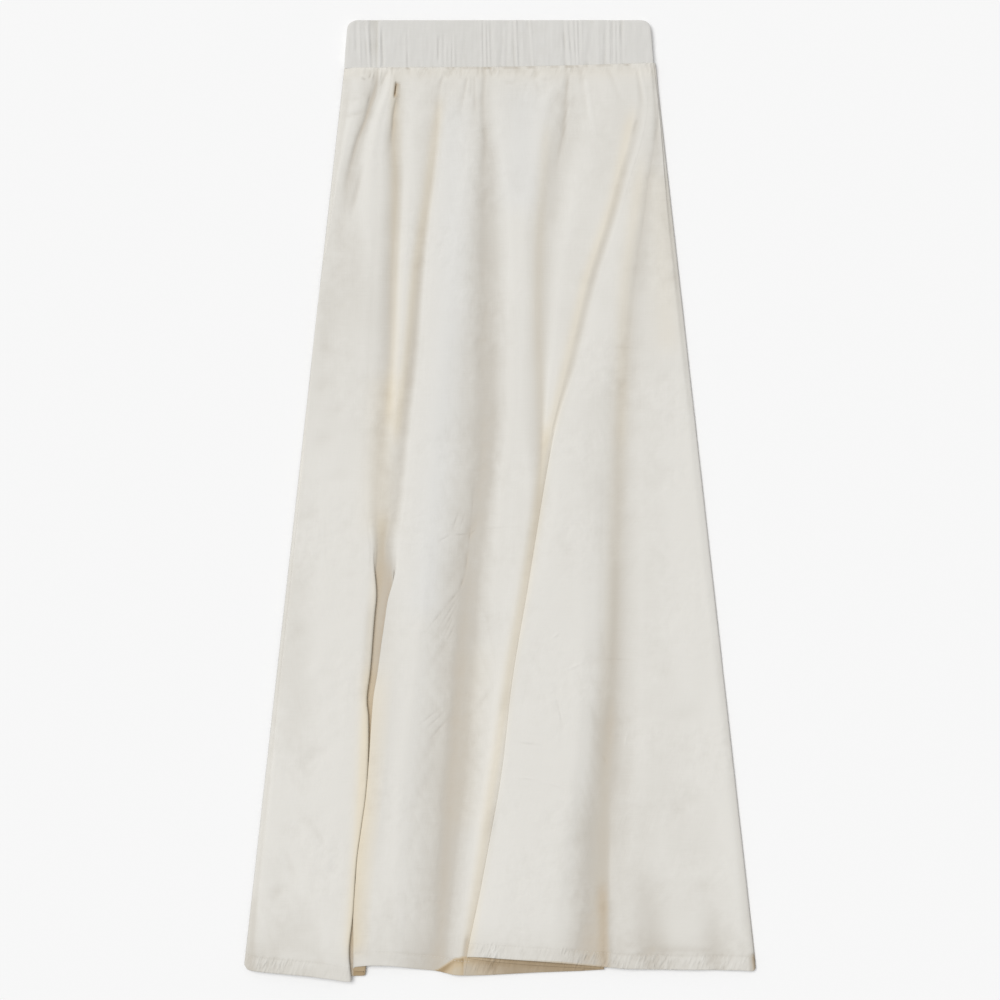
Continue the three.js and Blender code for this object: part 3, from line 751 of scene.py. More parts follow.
# Where light bounces between the walls of a fold the cloth looks warmer, and cooler where it faces the room:
# a line of (x, down), its width and how much.
warmLines = [
    ([(-104.6, 60), (-104.6, 178), (-105.5, 316), (-111, 400)], 5, 0.75),
    ([(-112, 350), (-119, 440), (-121, 510)], 15, 0.55),
    ([(-60, 79), (-75, 188), (-84.8, 247), (-92.7, 326), (-104, 415)], 5.5, 0.8),
    ([(-116.5, 490), (-124, 583), (-131, 682), (-138, 801), (-148, 925)], 6, 0.9),
    ([(-129, 640), (-137, 801), (-147, 925)], 9, 0.9),
    ([(130, 90), (111, 178), (84, 257), (66, 336), (47, 415)], 6, 0.75),
    ([(46, 405), (36, 484), (23, 563), (10, 632), (-3, 721), (-15, 800), (-27, 880), (-35, 935)], 6, 0.9),
    ([(45, 105), (38, 207), (36, 287), (39, 366), (42, 425)], 5.5, 0.4),
    ([(-22, 620), (-32, 720), (-40, 800)], 20, 0.25),
    ([(137.6, 150), (121, 260), (117, 420), (108, 600), (101, 780), (96, 930)], 8, 0.3),
    ([(141, 130), (124, 260), (118, 420)], 7, 0.25),
    ([(158, 150), (166, 330)], 14, 0.35),
    ([(-47, 80), (-49, 290), (-60, 440), (-77, 590)], 17, -0.24),
    ([(22, 65), (20, 190)], 22, -0.24),
]
seamWarmth = {"down": 51, "width": 8, "amount": 0.24}  # painted warmth along the seam too
warmEnds = {"beyond": 12, "over": 30}  # how a line fades out at its ends

# Lower layers that show beyond a fold's own hem lie in its shadow: a line of (x, down) along that hem, how
# much darker they are and how soft the shadow's edge is.
coveredLayers = [
    ([(-147, 937), (-133, 937)], 0.9, 1.2),
    ([(-67, 941), (-60, 937), (-46, 927), (-36, 925)], 1.2, 3),
    ([(-37, 925.6), (0, 926.8), (58, 930.2), (104, 935.6)], 0.45, 1.2),
]
coveredFade = {"share": 0.6, "over": 13}  # the shadow gets weaker away from that hem

# Painted shade in the folds: the shade value of flat cloth, and what it gains for each millimetre that a
# point lies below the cloth near it and further off.
foldShade = {"flat": 0.15, "near": 11, "nearAmount": 0.17, "far": 28, "farAmount": 0.075, "darkest": 1.5}

# The hem's stitched line and the slanted puckers it pulls.
hemPuckers = {
    "stitchLine": 13,  # above the edge
    "step": 0.35,  # the doubled cloth stands up by this
    "groove": 0.3,  # and the stitches sink in by this
    "grooveWidth": 1.5,
    "height": 0.3,
    "slant": 0.9,
    "size": 4.2,
    # painted shade towards the hem: the folded hem and a strip above it are a little darker: by how much, up
    # to how far above the edge, and over how much the tone changes
    "paintedDarker": [(0.12, 46, 34), (0.07, 15, 3)],
    "strength": 0.35,
    # where they are stronger: x, reach across, by how much
    "stronger": [(-225, 30, 1.0), (-9, 14, 1.2), (85, 34, 1.2), (150, 30, 0.9), (215, 26, 1.0)],
}


# the cloth's painted warmth from light bounced inside folds, and painted coolness where it faces the room: 0
# is its own colour, less than 0 is cooler
def warmth(x, down):
    total = seamWarmth["amount"] * hill(down - seamWarmth["down"], seamWarmth["width"])
    beyond, over = warmEnds["beyond"], warmEnds["over"]
    for line, width, amount in warmLines:
        first, last = line[0][1], line[-1][1]
        fade = smooth((down - first + beyond) / over) * smooth((last + beyond - down) / over)
        total = total + amount * fade * hill(besideLine(x, down, line), width)
    return np.clip(total, -1, 1.5)


# how far the seam stands open
def seamOpening(x):
    return sum(much * smooth((x - start + 1) / 2) * smooth((end + 1 - x) / 2)
               for start, end, much in seamGaps)


def puckerStrength(x):
    return hemPuckers["strength"] + sum(w * hill(x - x0, reach) for x0, reach, w in hemPuckers["stronger"])


# what the front's small relief adds to its height; nominal is how far down a row lies before the folds lift
# or lower its hem
def frontDetail(x, down, nominal):
    broad, broadSize, broadSeed = frontCloth["broadWaves"]
    finer, finerSize, finerSeed = frontCloth["finerWaves"]
    z = broad * noiseAt(x, down, broadSize, broadSeed) + finer * noiseAt(x, down * 0.8, finerSize, finerSeed)
    z = z * smooth((nominal - seamDown) / 25)
    for start, end, width, depth, bow in wrinkles:
        z = z - creaseDepth(x, down, start, end, width, depth, bow, 0.5)
    for line, width, depth in seamGathers:
        first, last = line[0][1], line[-1][1]
        length = last - first
        t = np.clip((down - first) / length, 0, 1)
        fade = smooth((down - first + 2.5) / 4) * smooth((last + 0.2 * length - down) / (0.6 * length))
        z = z - depth * fade * hill(besideLine(x, down, line), width * (0.85 + 0.45 * t))
    for x0, lean, length, width, depth in puckers:
        t = np.clip((nominal - seamDown) / length, 0, 1.4)
        z = z - depth * smooth(1.4 - t) * hill(x - x0 - lean * t, width * (1 + 0.4 * t))
    deeper = frontCloth["valleyDepth"] + frontCloth["gapDepth"] * seamOpening(x)
    z = z - deeper * hill(nominal - seamDown, frontCloth["valleyWidth"])
    up = hemDown - nominal
    step = hemPuckers["step"] * smooth((hemPuckers["stitchLine"] + 1 - up) / 2)
    groove = hemPuckers["groove"] * hill(up - hemPuckers["stitchLine"], hemPuckers["grooveWidth"])
    slanted = noiseAt(x - hemPuckers["slant"] * up, 0.25 * up, hemPuckers["size"], 31.5)
    near = smooth((22 - up) / 6) * smooth((up + 1) / 4)
    return z + step - groove + hemPuckers["height"] * puckerStrength(x) * slanted * near


# the painted shadow on a lower layer beyond the hem that covers it
def coveredShade(x, down):
    covered = 0 * x
    for line, amount, softness in coveredLayers:
        xs, downs = zip(*line)
        past = down - np.interp(x, xs, downs)
        further = 1 - coveredFade["share"] * smooth(past / coveredFade["over"])
        ends = smooth((x - xs[0]) / 1.5), smooth((xs[-1] - x) / 1.5)
        covered = covered + amount * smooth(past / softness) * further * ends[0] * ends[1]
    return covered


# painted shade on the front: the soft lines above, a strip towards the hem and the seam's gaps
def frontShade(x, down, nominal):
    up = hemDown - nominal
    shade = sum(creaseDepth(x, down, a, b, width, amount, 0, 0.25) for a, b, width, amount in paintedShades)
    for amount, upTo, over in hemPuckers["paintedDarker"]:
        shade = shade + amount * smooth((upTo - up) / over)
    gaps = frontCloth["gapShade"] * seamOpening(x)
    return shade + gaps * hill(nominal - seamDown, frontCloth["gapShadeWidth"])


def frontPucker(x, nominal):
    atHem = puckerStrength(x) * smooth((17 - hemDown + nominal) / 6)
    atSeam = 1 - smooth((nominal - seamDown) / 16)
    return frontCloth["hemPucker"] * atHem + frontCloth["seamPucker"] * atSeam


# the turned hem's rows take the values of the row at the edge
def continued(values, rows):
    return np.concatenate([values, *[values[-1:]] * (rows - len(values))])


# how far along the cloth each column lies from the one down the panel's middle
def acrossCloth(points):
    steps = np.linalg.norm(np.diff(points, axis=1), axis=2)
    u = np.concatenate([np.zeros((len(points), 1)), np.cumsum(steps, axis=1)], axis=1)
    middle = np.argmin(np.abs(points[0, :, 0]))
    return u - u[:, middle:middle + 1]


# the front, and the line on it where the hem is stitched with where that line shows
def buildFront():
    nominal = rowDowns()
    section = throughKeys(frontSection(nominal), frontCloth["columnWidth"])
    x, z, inner = section["x"], section["z"], section["inner"]
    row = nominal[:, None]
    toHem = smooth((row - hemDown + frontCloth["hemReach"]) / frontCloth["hemReach"])
    down = row + toHem * (section["hem"] - hemDown)
    down = down + seamOffset(x) * (1 - smooth((row - seamDown) / frontCloth["seamReach"]))
    z = z + (1 - smooth(inner * 3)) * frontDetail(x, down, row)
    points = np.stack([x, topY - down, z], axis=2)
    normals = gridNormals(points)
    points = turnedHem(points, normals, frontCloth["hemDepth"], frontCloth["hemBend"])
    count, rows = len(nominal), len(points)

    covered = coveredShade(x, down)
    shade = continued(frontShade(x, down, row) + covered, rows)
    paintedWarmth = continued(warmth(x, down) + np.clip(covered * 3, 0, 1.8), rows)
    pucker = continued(frontPucker(x, row), rows)
    # painted shade: the deeper a point lies below the cloth around it, the darker its colour, fading out at
    # the side edges
    depth, wide = (foldDepth(points[..., 0], topY - points[..., 1], points[..., 2], reach)
                   for reach in (foldShade["near"], foldShade["far"]))
    inside = continued(smooth((halfWidth(down) - np.abs(x) - 1) / 9), rows)
    folded = (foldShade["nearAmount"] * depth + foldShade["farAmount"] * wide) * inside
    paintedShade = np.clip(np.clip(foldShade["flat"] + folded, 0, 1) + shade, 0, foldShade["darkest"])

    uv = np.stack([acrossCloth(points), continued(down, rows)], axis=2)
    # the underside keeps every second row, and all of them under the band and in the turned hem
    fine = np.concatenate([nominal < 110, np.full(rows - count, True)])
    kept = fine | (np.arange(rows) % 2 == 0)
    kept[:-1] |= fine[1:]
    kept[count - 1] = True
    attributes = {"paintedShade": paintedShade, "pucker": pucker, "paintedWarmth": paintedWarmth}
    piece = clothShell("FrontPanel", points, frontCloth["thickness"], attributes, uv, np.flatnonzero(kept))
    print("front panel:", points.shape, "triangles", sum(len(f.vertices) - 2 for f in piece.data.polygons))

    stitchDown = hemDown - hemPuckers["stitchLine"]
    i = np.searchsorted(nominal, stitchDown)
    t = (stitchDown - nominal[i - 1]) / (nominal[i] - nominal[i - 1])
    line = mix(points[i - 1], points[i], t) + normals[i] * frontCloth["thickness"] / 2
    return piece, line, mix(inner[i - 1], inner[i], t) < 0.02


# The back is cut like the front and lies flat on the table.
backCloth = {
    "thickness": 0.6,
    "height": 0.62,  # of its middle surface
    "wave": 0.2,
    "shade": 0.7,
    "gather": 0.15,
    "hem": 931,
    "inset": 1.2,  # on each side
    "rows": 110,
    "columns": 170,
    "seamPucker": 0.8,
    "hemPucker": 0.6,
}

# Low soft ridges that rise from the table under the front: start and end as (x, down), width, height.
backFolds = [
    ((-88, 50), (-150, 640), 7, 0.5),
    ((-40, 52), (-62, 420), 6, 0.4),
    ((-12, 300), (-30, 900), 8, 0.5),
    ((30, 48), (44, 560), 6, 0.45),
    ((74, 90), (120, 780), 9, 0.5),
    ((118, 60), (170, 500), 6, 0.35),
    ((150, 520), (196, 905), 8, 0.4),
    ((-180, 560), (-214, 900), 8, 0.4),
]


def buildBack():
    down = np.linspace(seamDown + 0.3, backCloth["hem"], backCloth["rows"])[:, None]
    across = np.linspace(-1, 1, backCloth["columns"])[None, :]
    x = across * (halfWidth(down) - backCloth["inset"])
    z = backCloth["height"] + backCloth["wave"] * (1 + noiseAt(x, down, 55, 21.5))
    for start, end, width, height in backFolds:
        z = z - creaseDepth(x, down, start, end, width, -height)
    z = z + backCloth["gather"] * (1 + noiseAt(x, down / 8, 5, 8.2)) * (1 - smooth((down - seamDown) / 30))
    points = np.stack([x, topY - down + 0 * x, z], axis=2)
    uv = np.stack([x, down + 0 * x], axis=2)
    atSeam = backCloth["seamPucker"] * (1 - smooth((down - seamDown) / 16))
    atHem = backCloth["hemPucker"] * smooth((down - backCloth["hem"] + 20) / 6)
    attributes = {"paintedShade": np.full(x.shape, backCloth["shade"]), "pucker": atSeam + atHem + 0 * x}
    print("back panel:", points.shape)
    return clothShell("BackPanel", points, backCloth["thickness"], attributes, uv)


# The waistband is a casing gathered over a wide elastic, a ring pressed flat.
band = {
    "wall": 2.7,
    "topHalfWidth": 151,
    "cornerRadius": 8.5,  # of its top corners
    "rightInset": 3.4,
    "frontStep": 0.6,  # from column to column
    "backStep": 1.4,
    "sideTurn": 12,  # degrees from column to column round its sides
    "rowStep": 1.7,
    "edgeTurn": 15,  # degrees from row to row round its top and lower edges
    "sidePress": 0.5,  # how square its sides are; 1 is round
    "corner": 0.45,  # and its lower edge, where the skirt is sewn on
    "swell": 0.45,  # it is fuller by this along its middle
    "gatherDepth": 0.66,
    "gatherShade": 0.35,  # painted shade in the gathers' troughs, in shade value
    "pucker": 0.3,
    "backGathers": 46,
    "blotches": 0.3,
    "streaks": 0.2,
    "grain": 0.12,
    "ruffle": 0.14,  # of its top edge
}

# Gathers across the band's front: x at its top edge, how far it leans by the seam, width, depth (a ridge is
# negative) and the stretch of the band that it crosses.
bandGathers = [
    # x, lean, width, depth, from, to
    (-143.0, 0.5, 1.8, 0.6, -9, 34),
    (-139.6, 1.0, 1.1, -0.6, -9, 50),
    (-134.4, 2.8, 1.1, 1.2, -9, 54),
    (-132.2, 3.0, 1.0, -0.7, -9, 52),
    (-129.2, 2.0, 1.2, 0.8, -9, 54),
    (-125.0, 0.0, 4.4, 1.3, -9, 48),
    (-122.2, -0.5, 1.0, 0.7, -9, 52),
    (-119.6, 0.0, 1.3, -0.8, 0, 54),
    (-117.6, 1.5, 1.2, 0.7, 6, 46),
    (-97.8, 0.5, 1.5, 0.4, 12, 52),
    (-94.4, 0.5, 1.2, -0.5, 12, 52),
    (-92.3, 0.5, 1.0, 0.4, 2, 52),
    (-63.4, 0.0, 1.2, -0.35, 12, 36),
    (-61.4, 0.0, 1.2, 0.4, 16, 42),
    (-56.6, 0.5, 1.2, 0.4, 12, 50),
    (-54.2, 0.5, 1.0, -0.3, 12, 50),
    (-49.8, 0.5, 1.2, -0.4, 12, 50),
    (-48.2, 0.5, 0.9, 0.4, 12, 50),
    (-46.6, 0.8, 1.0, -0.45, 10, 54),
    (-44.2, 1.0, 1.2, 0.35, 12, 54),
    (-27.5, 0.0, 5.0, 0.35, -5, 50),
    (-19.3, 0.5, 0.9, -0.4, -9, 52),
    (-17.5, 0.8, 1.2, 0.5, -9, 52),
    (-15.6, 1.0, 0.9, -0.3, -9, 52),
    (-13.8, 1.2, 1.0, 0.4, -9, 52),
    (-12.3, 1.5, 0.9, -0.35, -9, 52),
    (-9.9, 1.5, 1.4, 0.5, -9, 52),
    (-4.2, 0.0, 1.5, -0.25, -9, 52),
    (2.6, -2.4, 1.6, 0.5, 2, 58),
    (6.8, -1.5, 2.0, 0.35, -9, 58),
    (12.6, 1.5, 1.5, 0.8, -9, 58),
    (14.8, 1.8, 1.1, -0.9, -9, 58),
    (21.0, 1.0, 1.3, -0.3, -9, 50),
    (26.6, 3.6, 1.5, 0.7, -9, 58),
    (28.8, 3.6, 1.2, -0.35, -9, 58),
    (39.0, -1.0, 4.0, 0.3, -5, 50),
    (62.0, 2.4, 1.5, 0.8, -9, 58),
    (65.2, 3.4, 1.2, -0.6, -9, 58),
    (67.8, 3.0, 0.9, 0.35, -9, 54),
    (70.8, 2.6, 1.0, -0.45, -9, 54),
    (73.0, 2.0, 0.9, 0.4, -9, 54),
    (74.8, 1.6, 0.9, -0.4, -9, 54),
    (76.8, 1.2, 1.1, 0.5, -9, 54),
    (79.8, 1.0, 1.0, -0.35, -9, 54),
    (90.4, -5.4, 2.8, 0.6, -9, 54),
    (97.2, -1.0, 1.8, -0.35, -9, 54),
    (104.4, -1.8, 1.8, 0.7, -9, 54),
    (107.0, 0.6, 1.3, -0.7, -9, 56),
    (110.6, 0.6, 0.9, 0.4, -9, 50),
    (112.7, 0.6, 0.8, -0.3, -9, 50),
    (114.6, 0.6, 0.9, 0.35, -9, 50),
    (116.6, 0.8, 0.8, -0.3, -9, 50),
    (119.2, 1.6, 1.6, 0.6, -9, 56),
    (141.6, 0.0, 5.0, 0.4, 2, 50),
]


def bandFrontRelief(x, down):
    relief = np.zeros(np.broadcast(x, down).shape)
    for x0, lean, width, depth, start, end in bandGathers:
        line = [(x0 + lean * d / seamDown, d) for d in (start, end)]
        relief = relief - creaseDepth(x, down, *line, width, band["gatherDepth"] * depth, 0, 0.15)
    uneven = 1 + 1.1 * noiseAt(x * 1.3, down * 0.9, 15, 4.4)
    blotches = band["blotches"] * noiseAt(x, down * 0.45, 10, 9.1)
    return relief * uneven + blotches + band["streaks"] * noiseAt(x, down * 0.15, 3.4, 1.7)


def bandBackRelief(x, seed, count):
    rng = np.random.default_rng(seed)
    relief = np.zeros(np.shape(x))
    for x0 in np.linspace(-145, 145, count) + rng.uniform(-3, 3, count):
        relief = relief - rng.uniform(0.3, 1.0) * hill(x - x0, rng.uniform(1.2, 2.6))
    return relief


# the wall's section as down and out: down its outer face, round its lower edge, up its inner face and over
# its top edge
def bandSection(half):
    faceDown = np.concatenate([np.arange(half, seamDown - half, band["rowStep"]), [seamDown - half]])
    rounds = np.radians(np.arange(band["edgeTurn"], 180, band["edgeTurn"]))
    lower = half * np.abs(np.sin(rounds)) ** band["corner"]
    lowerOut = half * np.sign(np.cos(rounds)) * np.abs(np.cos(rounds)) ** band["corner"]
    face = np.full(len(faceDown), half)
    down = np.concatenate([faceDown, seamDown - half + lower, faceDown[::-1], half - half * np.sin(rounds)])
    out = np.concatenate([face, lowerOut, -face, -half * np.cos(rounds)])
    return down[:, None], out[:, None]


def buildBand():
    middle = bandBox[1].z / mm / 2
    half = band["wall"] / 2
    straight = seamHalf - middle
    # round the ring: along its front, round its left side, along its back, round its right side
    front = np.arange(1, -1, -band["frontStep"] / straight)
    back = np.arange(-1, 1, band["backStep"] / straight)
    sides = np.arange(band["sideTurn"], 180, band["sideTurn"])
    share = np.concatenate([front, np.full(len(sides), -1), back, np.full(len(sides), 1)])
    angle = np.concatenate([np.full(len(front), 90), 90 + sides, np.full(len(back), 270), 270 + sides])
    aim = [turn(np.radians(angle)).round(9) for turn in (np.cos, np.sin)]
    nx, nz = (np.sign(v) * np.abs(v) ** band["sidePress"] for v in aim)
    down, out = bandSection(half)
    lean = mix(band["topHalfWidth"], seamHalf, down / seamDown)
    r = band["cornerRadius"]
    cut = np.where(down < r, r - np.sqrt(np.maximum(r ** 2 - (r - np.minimum(down, r)) ** 2, 0)), 0)
    x = share * (lean - cut - middle) - band["rightInset"] * smooth(share)
    outer = smooth((out / half + 1) / 2)
    swell = band["swell"] * np.sin(np.pi * np.clip(down / seamDown, 0, 1)) ** 0.5
    relief = np.where(nz > 0, bandFrontRelief(x, down), bandBackRelief(x, 5, band["backGathers"]))
    relief = relief * smooth(np.abs(nz) * 1.5) + band["grain"] * noiseAt(x, down, 9, 2.2)
    relief = relief * outer + swell * outer
    # the front's lower edge follows the seam
    down = down * (1 + seamOffset(x) / seamDown * smooth(nz))
    reach = middle - half + out + relief
    ripple = band["ruffle"] * noiseAt(x, 0, 9, 6.6) * smooth(1 - down / 12)
    points = np.stack([x + nx * reach, topY - down + ripple, middle + nz * reach], axis=2)
    points[..., 2] = np.maximum(points[..., 2], 0.05)  # it lies flat on the table
    rows, columns = points.shape[:2]
    index = np.arange(rows * columns).reshape(rows, columns)
    right, below = np.roll(index, -1, axis=1), np.roll(index, -1, axis=0)
    faces = np.stack([index, right, np.roll(right, -1, axis=0), below], axis=-1).reshape(-1, 4).tolist()
    aside = np.abs(np.diff(share))
    steps = np.concatenate([[0], np.cumsum(aside * straight + np.where(aside == 0, 0.7, 0))])
    uv = np.stack([steps + 0 * down, down + 0 * x], axis=2)
    # painted shade in the gathers' troughs
    paintedShade = foldShade["flat"] + np.clip(-relief / 1.6, 0, 1) * band["gatherShade"]
    attributes = {"paintedShade": paintedShade.ravel(), "pucker": np.full(paintedShade.size, band["pucker"])}
    print("waistband:", points.shape)
    return meshPiece("Waistband", points.reshape(-1, 3), faces, attributes, uv.reshape(-1, 2))


# a node whose inputs are given as values or as sockets to link from
def addNode(tree, kind, inputs=None, **options):
    node = tree.nodes.new(kind)
    for option, value in options.items():
        setattr(node, option, value)
    for socket, value in (inputs or {}).items():
        if isinstance(value, bpy.types.NodeSocket):
            tree.links.new(value, node.inputs[socket])
        else:
            node.inputs[socket].default_value = value
    return node


def calculate(tree, operation, *values, **options):
    return addNode(tree, "ShaderNodeMath", dict(enumerate(values)), operation=operation, **options).outputs[0]


def vectorCalculate(tree, operation, *values):
    return addNode(tree, "ShaderNodeVectorMath", dict(enumerate(values)), operation=operation).outputs[0]


def mapped(tree, place, kind="POINT", **values):
    return addNode(tree, "ShaderNodeMapping", {"Vector": place} | values, vector_type=kind).outputs[0]


# a ramp from its first colour to its last, with more between them as (place, color)
def colorRamp(tree, fac, first, last, between=()):
    ramp = addNode(tree, "ShaderNodeValToRGB", {"Fac": fac})
    elements = ramp.color_ramp.elements
    elements[0].color, elements[1].color = (*first, 1), (*last, 1)
    for at, color in between:
        elements.new(at).color = (*color, 1)
    return ramp.outputs["Color"]


# a new material with its node tree and its shader
def newMaterial(name, values):
    material = bpy.data.materials.new(name)
    material.use_nodes = True
    shader = material.node_tree.nodes["Principled BSDF"]
    for socket, value in values.items():
        shader.inputs[socket].default_value = value
    return material, material.node_tree, shader


# an empty group with its input and output nodes; output is a name and a socket type
def nodeGroup(kind, name, inputs, output):
    group = bpy.data.node_groups.new(name, kind)
    for label, socket in inputs.items():
        group.interface.new_socket(name=label, in_out="INPUT", socket_type=socket)
    group.interface.new_socket(name=output[0], in_out="OUTPUT", socket_type=output[1])
    return group, group.nodes.new("NodeGroupInput"), group.nodes.new("NodeGroupOutput")


# one sharp crease pressed into the cloth: a long thin ellipse that is deepest along its middle. A point's
# place is in millimetres, and its z carries the height so far
def pressedCreaseGroup():
    inputs = dict.fromkeys(("Point", "Middle", "Turn", "Size", "Raise"), "NodeSocketVector")
    group, given, result = nodeGroup("ShaderNodeTree", "PressedCrease", inputs, ("Point", "NodeSocketVector"))
    given = given.outputs
    ellipse = {"Location": given["Middle"], "Rotation": given["Turn"], "Scale": given["Size"]}
    local = mapped(group, given["Point"], "TEXTURE", **ellipse)
    nearness = addNode(group, "ShaderNodeTexGradient", {0: local}, gradient_type="QUADRATIC_SPHERE")
    change = addNode(group, "ShaderNodeCombineXYZ", {"Z": nearness.outputs["Fac"]}).outputs[0]
    raised = vectorCalculate(group, "MULTIPLY_ADD", change, given["Raise"], given["Point"])
    group.links.new(raised, result.inputs["Point"])
    return group


# threads that pass over and under each other, worked out from the cloth's own UV map
def plainWeaveGroup():
    inputs = {"Place": "NodeSocketVector", "Pitch": "NodeSocketFloat"}
    group, given, result = nodeGroup("ShaderNodeTree", "PlainWeave", inputs, ("Height", "NodeSocketFloat"))
    place = addNode(group, "ShaderNodeSeparateXYZ", {0: given.outputs["Place"]}).outputs
    turns = calculate(group, "DIVIDE", math.pi, given.outputs["Pitch"])
    warp, weft = (calculate(group, "MULTIPLY", place[axis], turns) for axis in "XY")
    waves = [calculate(group, "SINE", w) for w in (warp, weft)]
    over = calculate(group, "MULTIPLY_ADD", calculate(group, "MULTIPLY", *waves), 0.5, 0.5)
    threads = [calculate(group, "MULTIPLY", w, w) for w in waves]
    height = addNode(group, "ShaderNodeMix", {0: over, 2: threads[0], 3: threads[1]}).outputs[0]
    group.links.new(height, result.inputs["Height"])
    return group


pressedCrease, plainWeave = pressedCreaseGroup(), plainWeaveGroup()

# How closely each pattern of the cloth repeats, as cells per metre on x, y and z.
patterns = {
    "lively": (70, 45, 70),
    "gathers": (1 / 0.0034, 1 / 0.013, 1),
    "patches": (14, 14, 14),
    "crumple": (95, 80, 95),
    "slubAcross": (1 / 0.02, 1 / 0.0006, 1),
    "slubAlong": (1 / 0.0006, 1 / 0.03, 1),
    "drift": (11, 6, 11),
}
creaseReach = {"along": 0.6, "across": 2.2}  # a pressed crease's ellipse, against its length and width


# noise around 0
def noiseNode(tree, place, pattern, detail=1.0):
    inputs = {"Vector": mapped(tree, place, Scale=patterns[pattern]), "Scale": 1.0, "Detail": detail}
    texture = addNode(tree, "ShaderNodeTexNoise", inputs, noise_dimensions="2D")
    return calculate(tree, "SUBTRACT", texture.outputs["Fac"], 0.5)


def attributeNode(tree, name):
    return addNode(tree, "ShaderNodeAttribute", attribute_name=name).outputs["Fac"]


# the height that a chain of pressed creases gives each point, in millimetres
def pressedHeight(tree, place, creases):
    point = mapped(tree, place, Location=(0, topY, 0), Scale=(1 / mm, -1 / mm, 0))
    for start, end, width, depth in creases:
        across, along = end[0] - start[0], end[1] - start[1]
        values = {
            "Middle": ((start[0] + end[0]) / 2, (start[1] + end[1]) / 2, 0),
            "Turn": (0, 0, math.atan2(along, across)),
            "Size": (math.hypot(across, along) * creaseReach["along"], width * creaseReach["across"], 1e6),
            "Raise": (0, 0, -depth),
            "Point": point,
        }
        point = addNode(tree, "ShaderNodeGroup", values, node_tree=pressedCrease).outputs[0]
    return addNode(tree, "ShaderNodeSeparateXYZ", {0: point}).outputs["Z"]


# adds the gathers that the stitching draws up and soft crumples, which come in patches
def drapedHeight(tree, place, height, pucker, settings):
    slanted = mapped(tree, place, Rotation=(0, 0, math.radians(settings["puckerSlant"])))
    lively = calculate(tree, "MULTIPLY_ADD", noiseNode(tree, place, "lively"), 2.6, 1.0)
    drawn = calculate(tree, "MULTIPLY", noiseNode(tree, slanted, "gathers", 2.0), pucker)
    drawn = calculate(tree, "MULTIPLY", drawn, calculate(tree, "MULTIPLY", lively, settings["puckerDepth"]))
    height = calculate(tree, "ADD", height, drawn)
    patchy = calculate(tree, "MULTIPLY_ADD", noiseNode(tree, place, "patches"), 2.4, 0.5, use_clamp=True)
    crumple = calculate(tree, "MULTIPLY", noiseNode(tree, place, "crumple", 2.0), patchy)
    return calculate(tree, "MULTIPLY_ADD", crumple, settings["crumple"], height)


# painted light and shade: the colour goes from a lit ridge to shadow with the depth of the fold and of each
# crease and pucker, drifts a little and takes painted warmth inside folds
def paintedFoldShading(tree, place, height, paintedShade, slubs, settings):
    tone = calculate(tree, "MULTIPLY_ADD", height, -settings["creaseShade"], paintedShade)
    tone = calculate(tree, "MULTIPLY_ADD", noiseNode(tree, place, "drift", 2.0), settings["drift"], tone)
    tone = calculate(tree, "MULTIPLY_ADD", slubs, settings["slubTone"], tone)
    tone = calculate(tree, "DIVIDE", tone, foldShade["darkest"])
    between = (0.1, settings["color"]), (0.3333, settings["foldShadeColor"]), (0.6667, settings["deepShadeColor"])
    color = colorRamp(tree, tone, settings["litRidgeColor"], settings["shadowColor"], between)
    tint = vectorCalculate(tree, "MULTIPLY_ADD", attributeNode(tree, "paintedWarmth"), settings["warmTint"], (1, 1, 1))
    return vectorCalculate(tree, "MULTIPLY", color, tint)


def clothMaterial(name, settings, creases=()):
    sheen = {"Sheen Weight": settings["sheen"], "Sheen Roughness": settings["sheenRoughness"]}
    material, tree, shader = newMaterial(name, {"Specular IOR Level": settings["specular"]} | sheen)
    place = addNode(tree, "ShaderNodeTexCoord").outputs["Object"]
    weave = addNode(tree, "ShaderNodeUVMap", uv_map="weave").outputs[0]
    paintedShade, pucker = (attributeNode(tree, n) for n in ("paintedShade", "pucker"))
    height = drapedHeight(tree, place, pressedHeight(tree, place, creases), pucker, settings)
    slubs = [noiseNode(tree, weave, pattern, 0.0) for pattern in ("slubAcross", "slubAlong")]
    slubs = calculate(tree, "ADD", *slubs)
    threadInputs = {"Place": weave, "Pitch": settings["pitch"] * mm}
    threads = addNode(tree, "ShaderNodeGroup", threadInputs, node_tree=plainWeave).outputs[0]
    woven = calculate(tree, "MULTIPLY_ADD", threads, settings["threadHeight"], height)
    woven = calculate(tree, "MULTIPLY_ADD", slubs, settings["slubHeight"], woven)
    bump = addNode(tree, "ShaderNodeBump", {"Height": woven, "Distance": mm, "Strength": 1.0})
    tree.links.new(bump.outputs[0], shader.inputs["Normal"])
    tree.links.new(paintedFoldShading(tree, place, height, paintedShade, slubs, settings), shader.inputs["Base Color"])
    rough = calculate(tree, "MULTIPLY_ADD", slubs, settings["slubRoughness"], settings["roughness"])
    tree.links.new(rough, shader.inputs["Roughness"])
    print(name + ":", len(tree.nodes), "nodes")
    return material


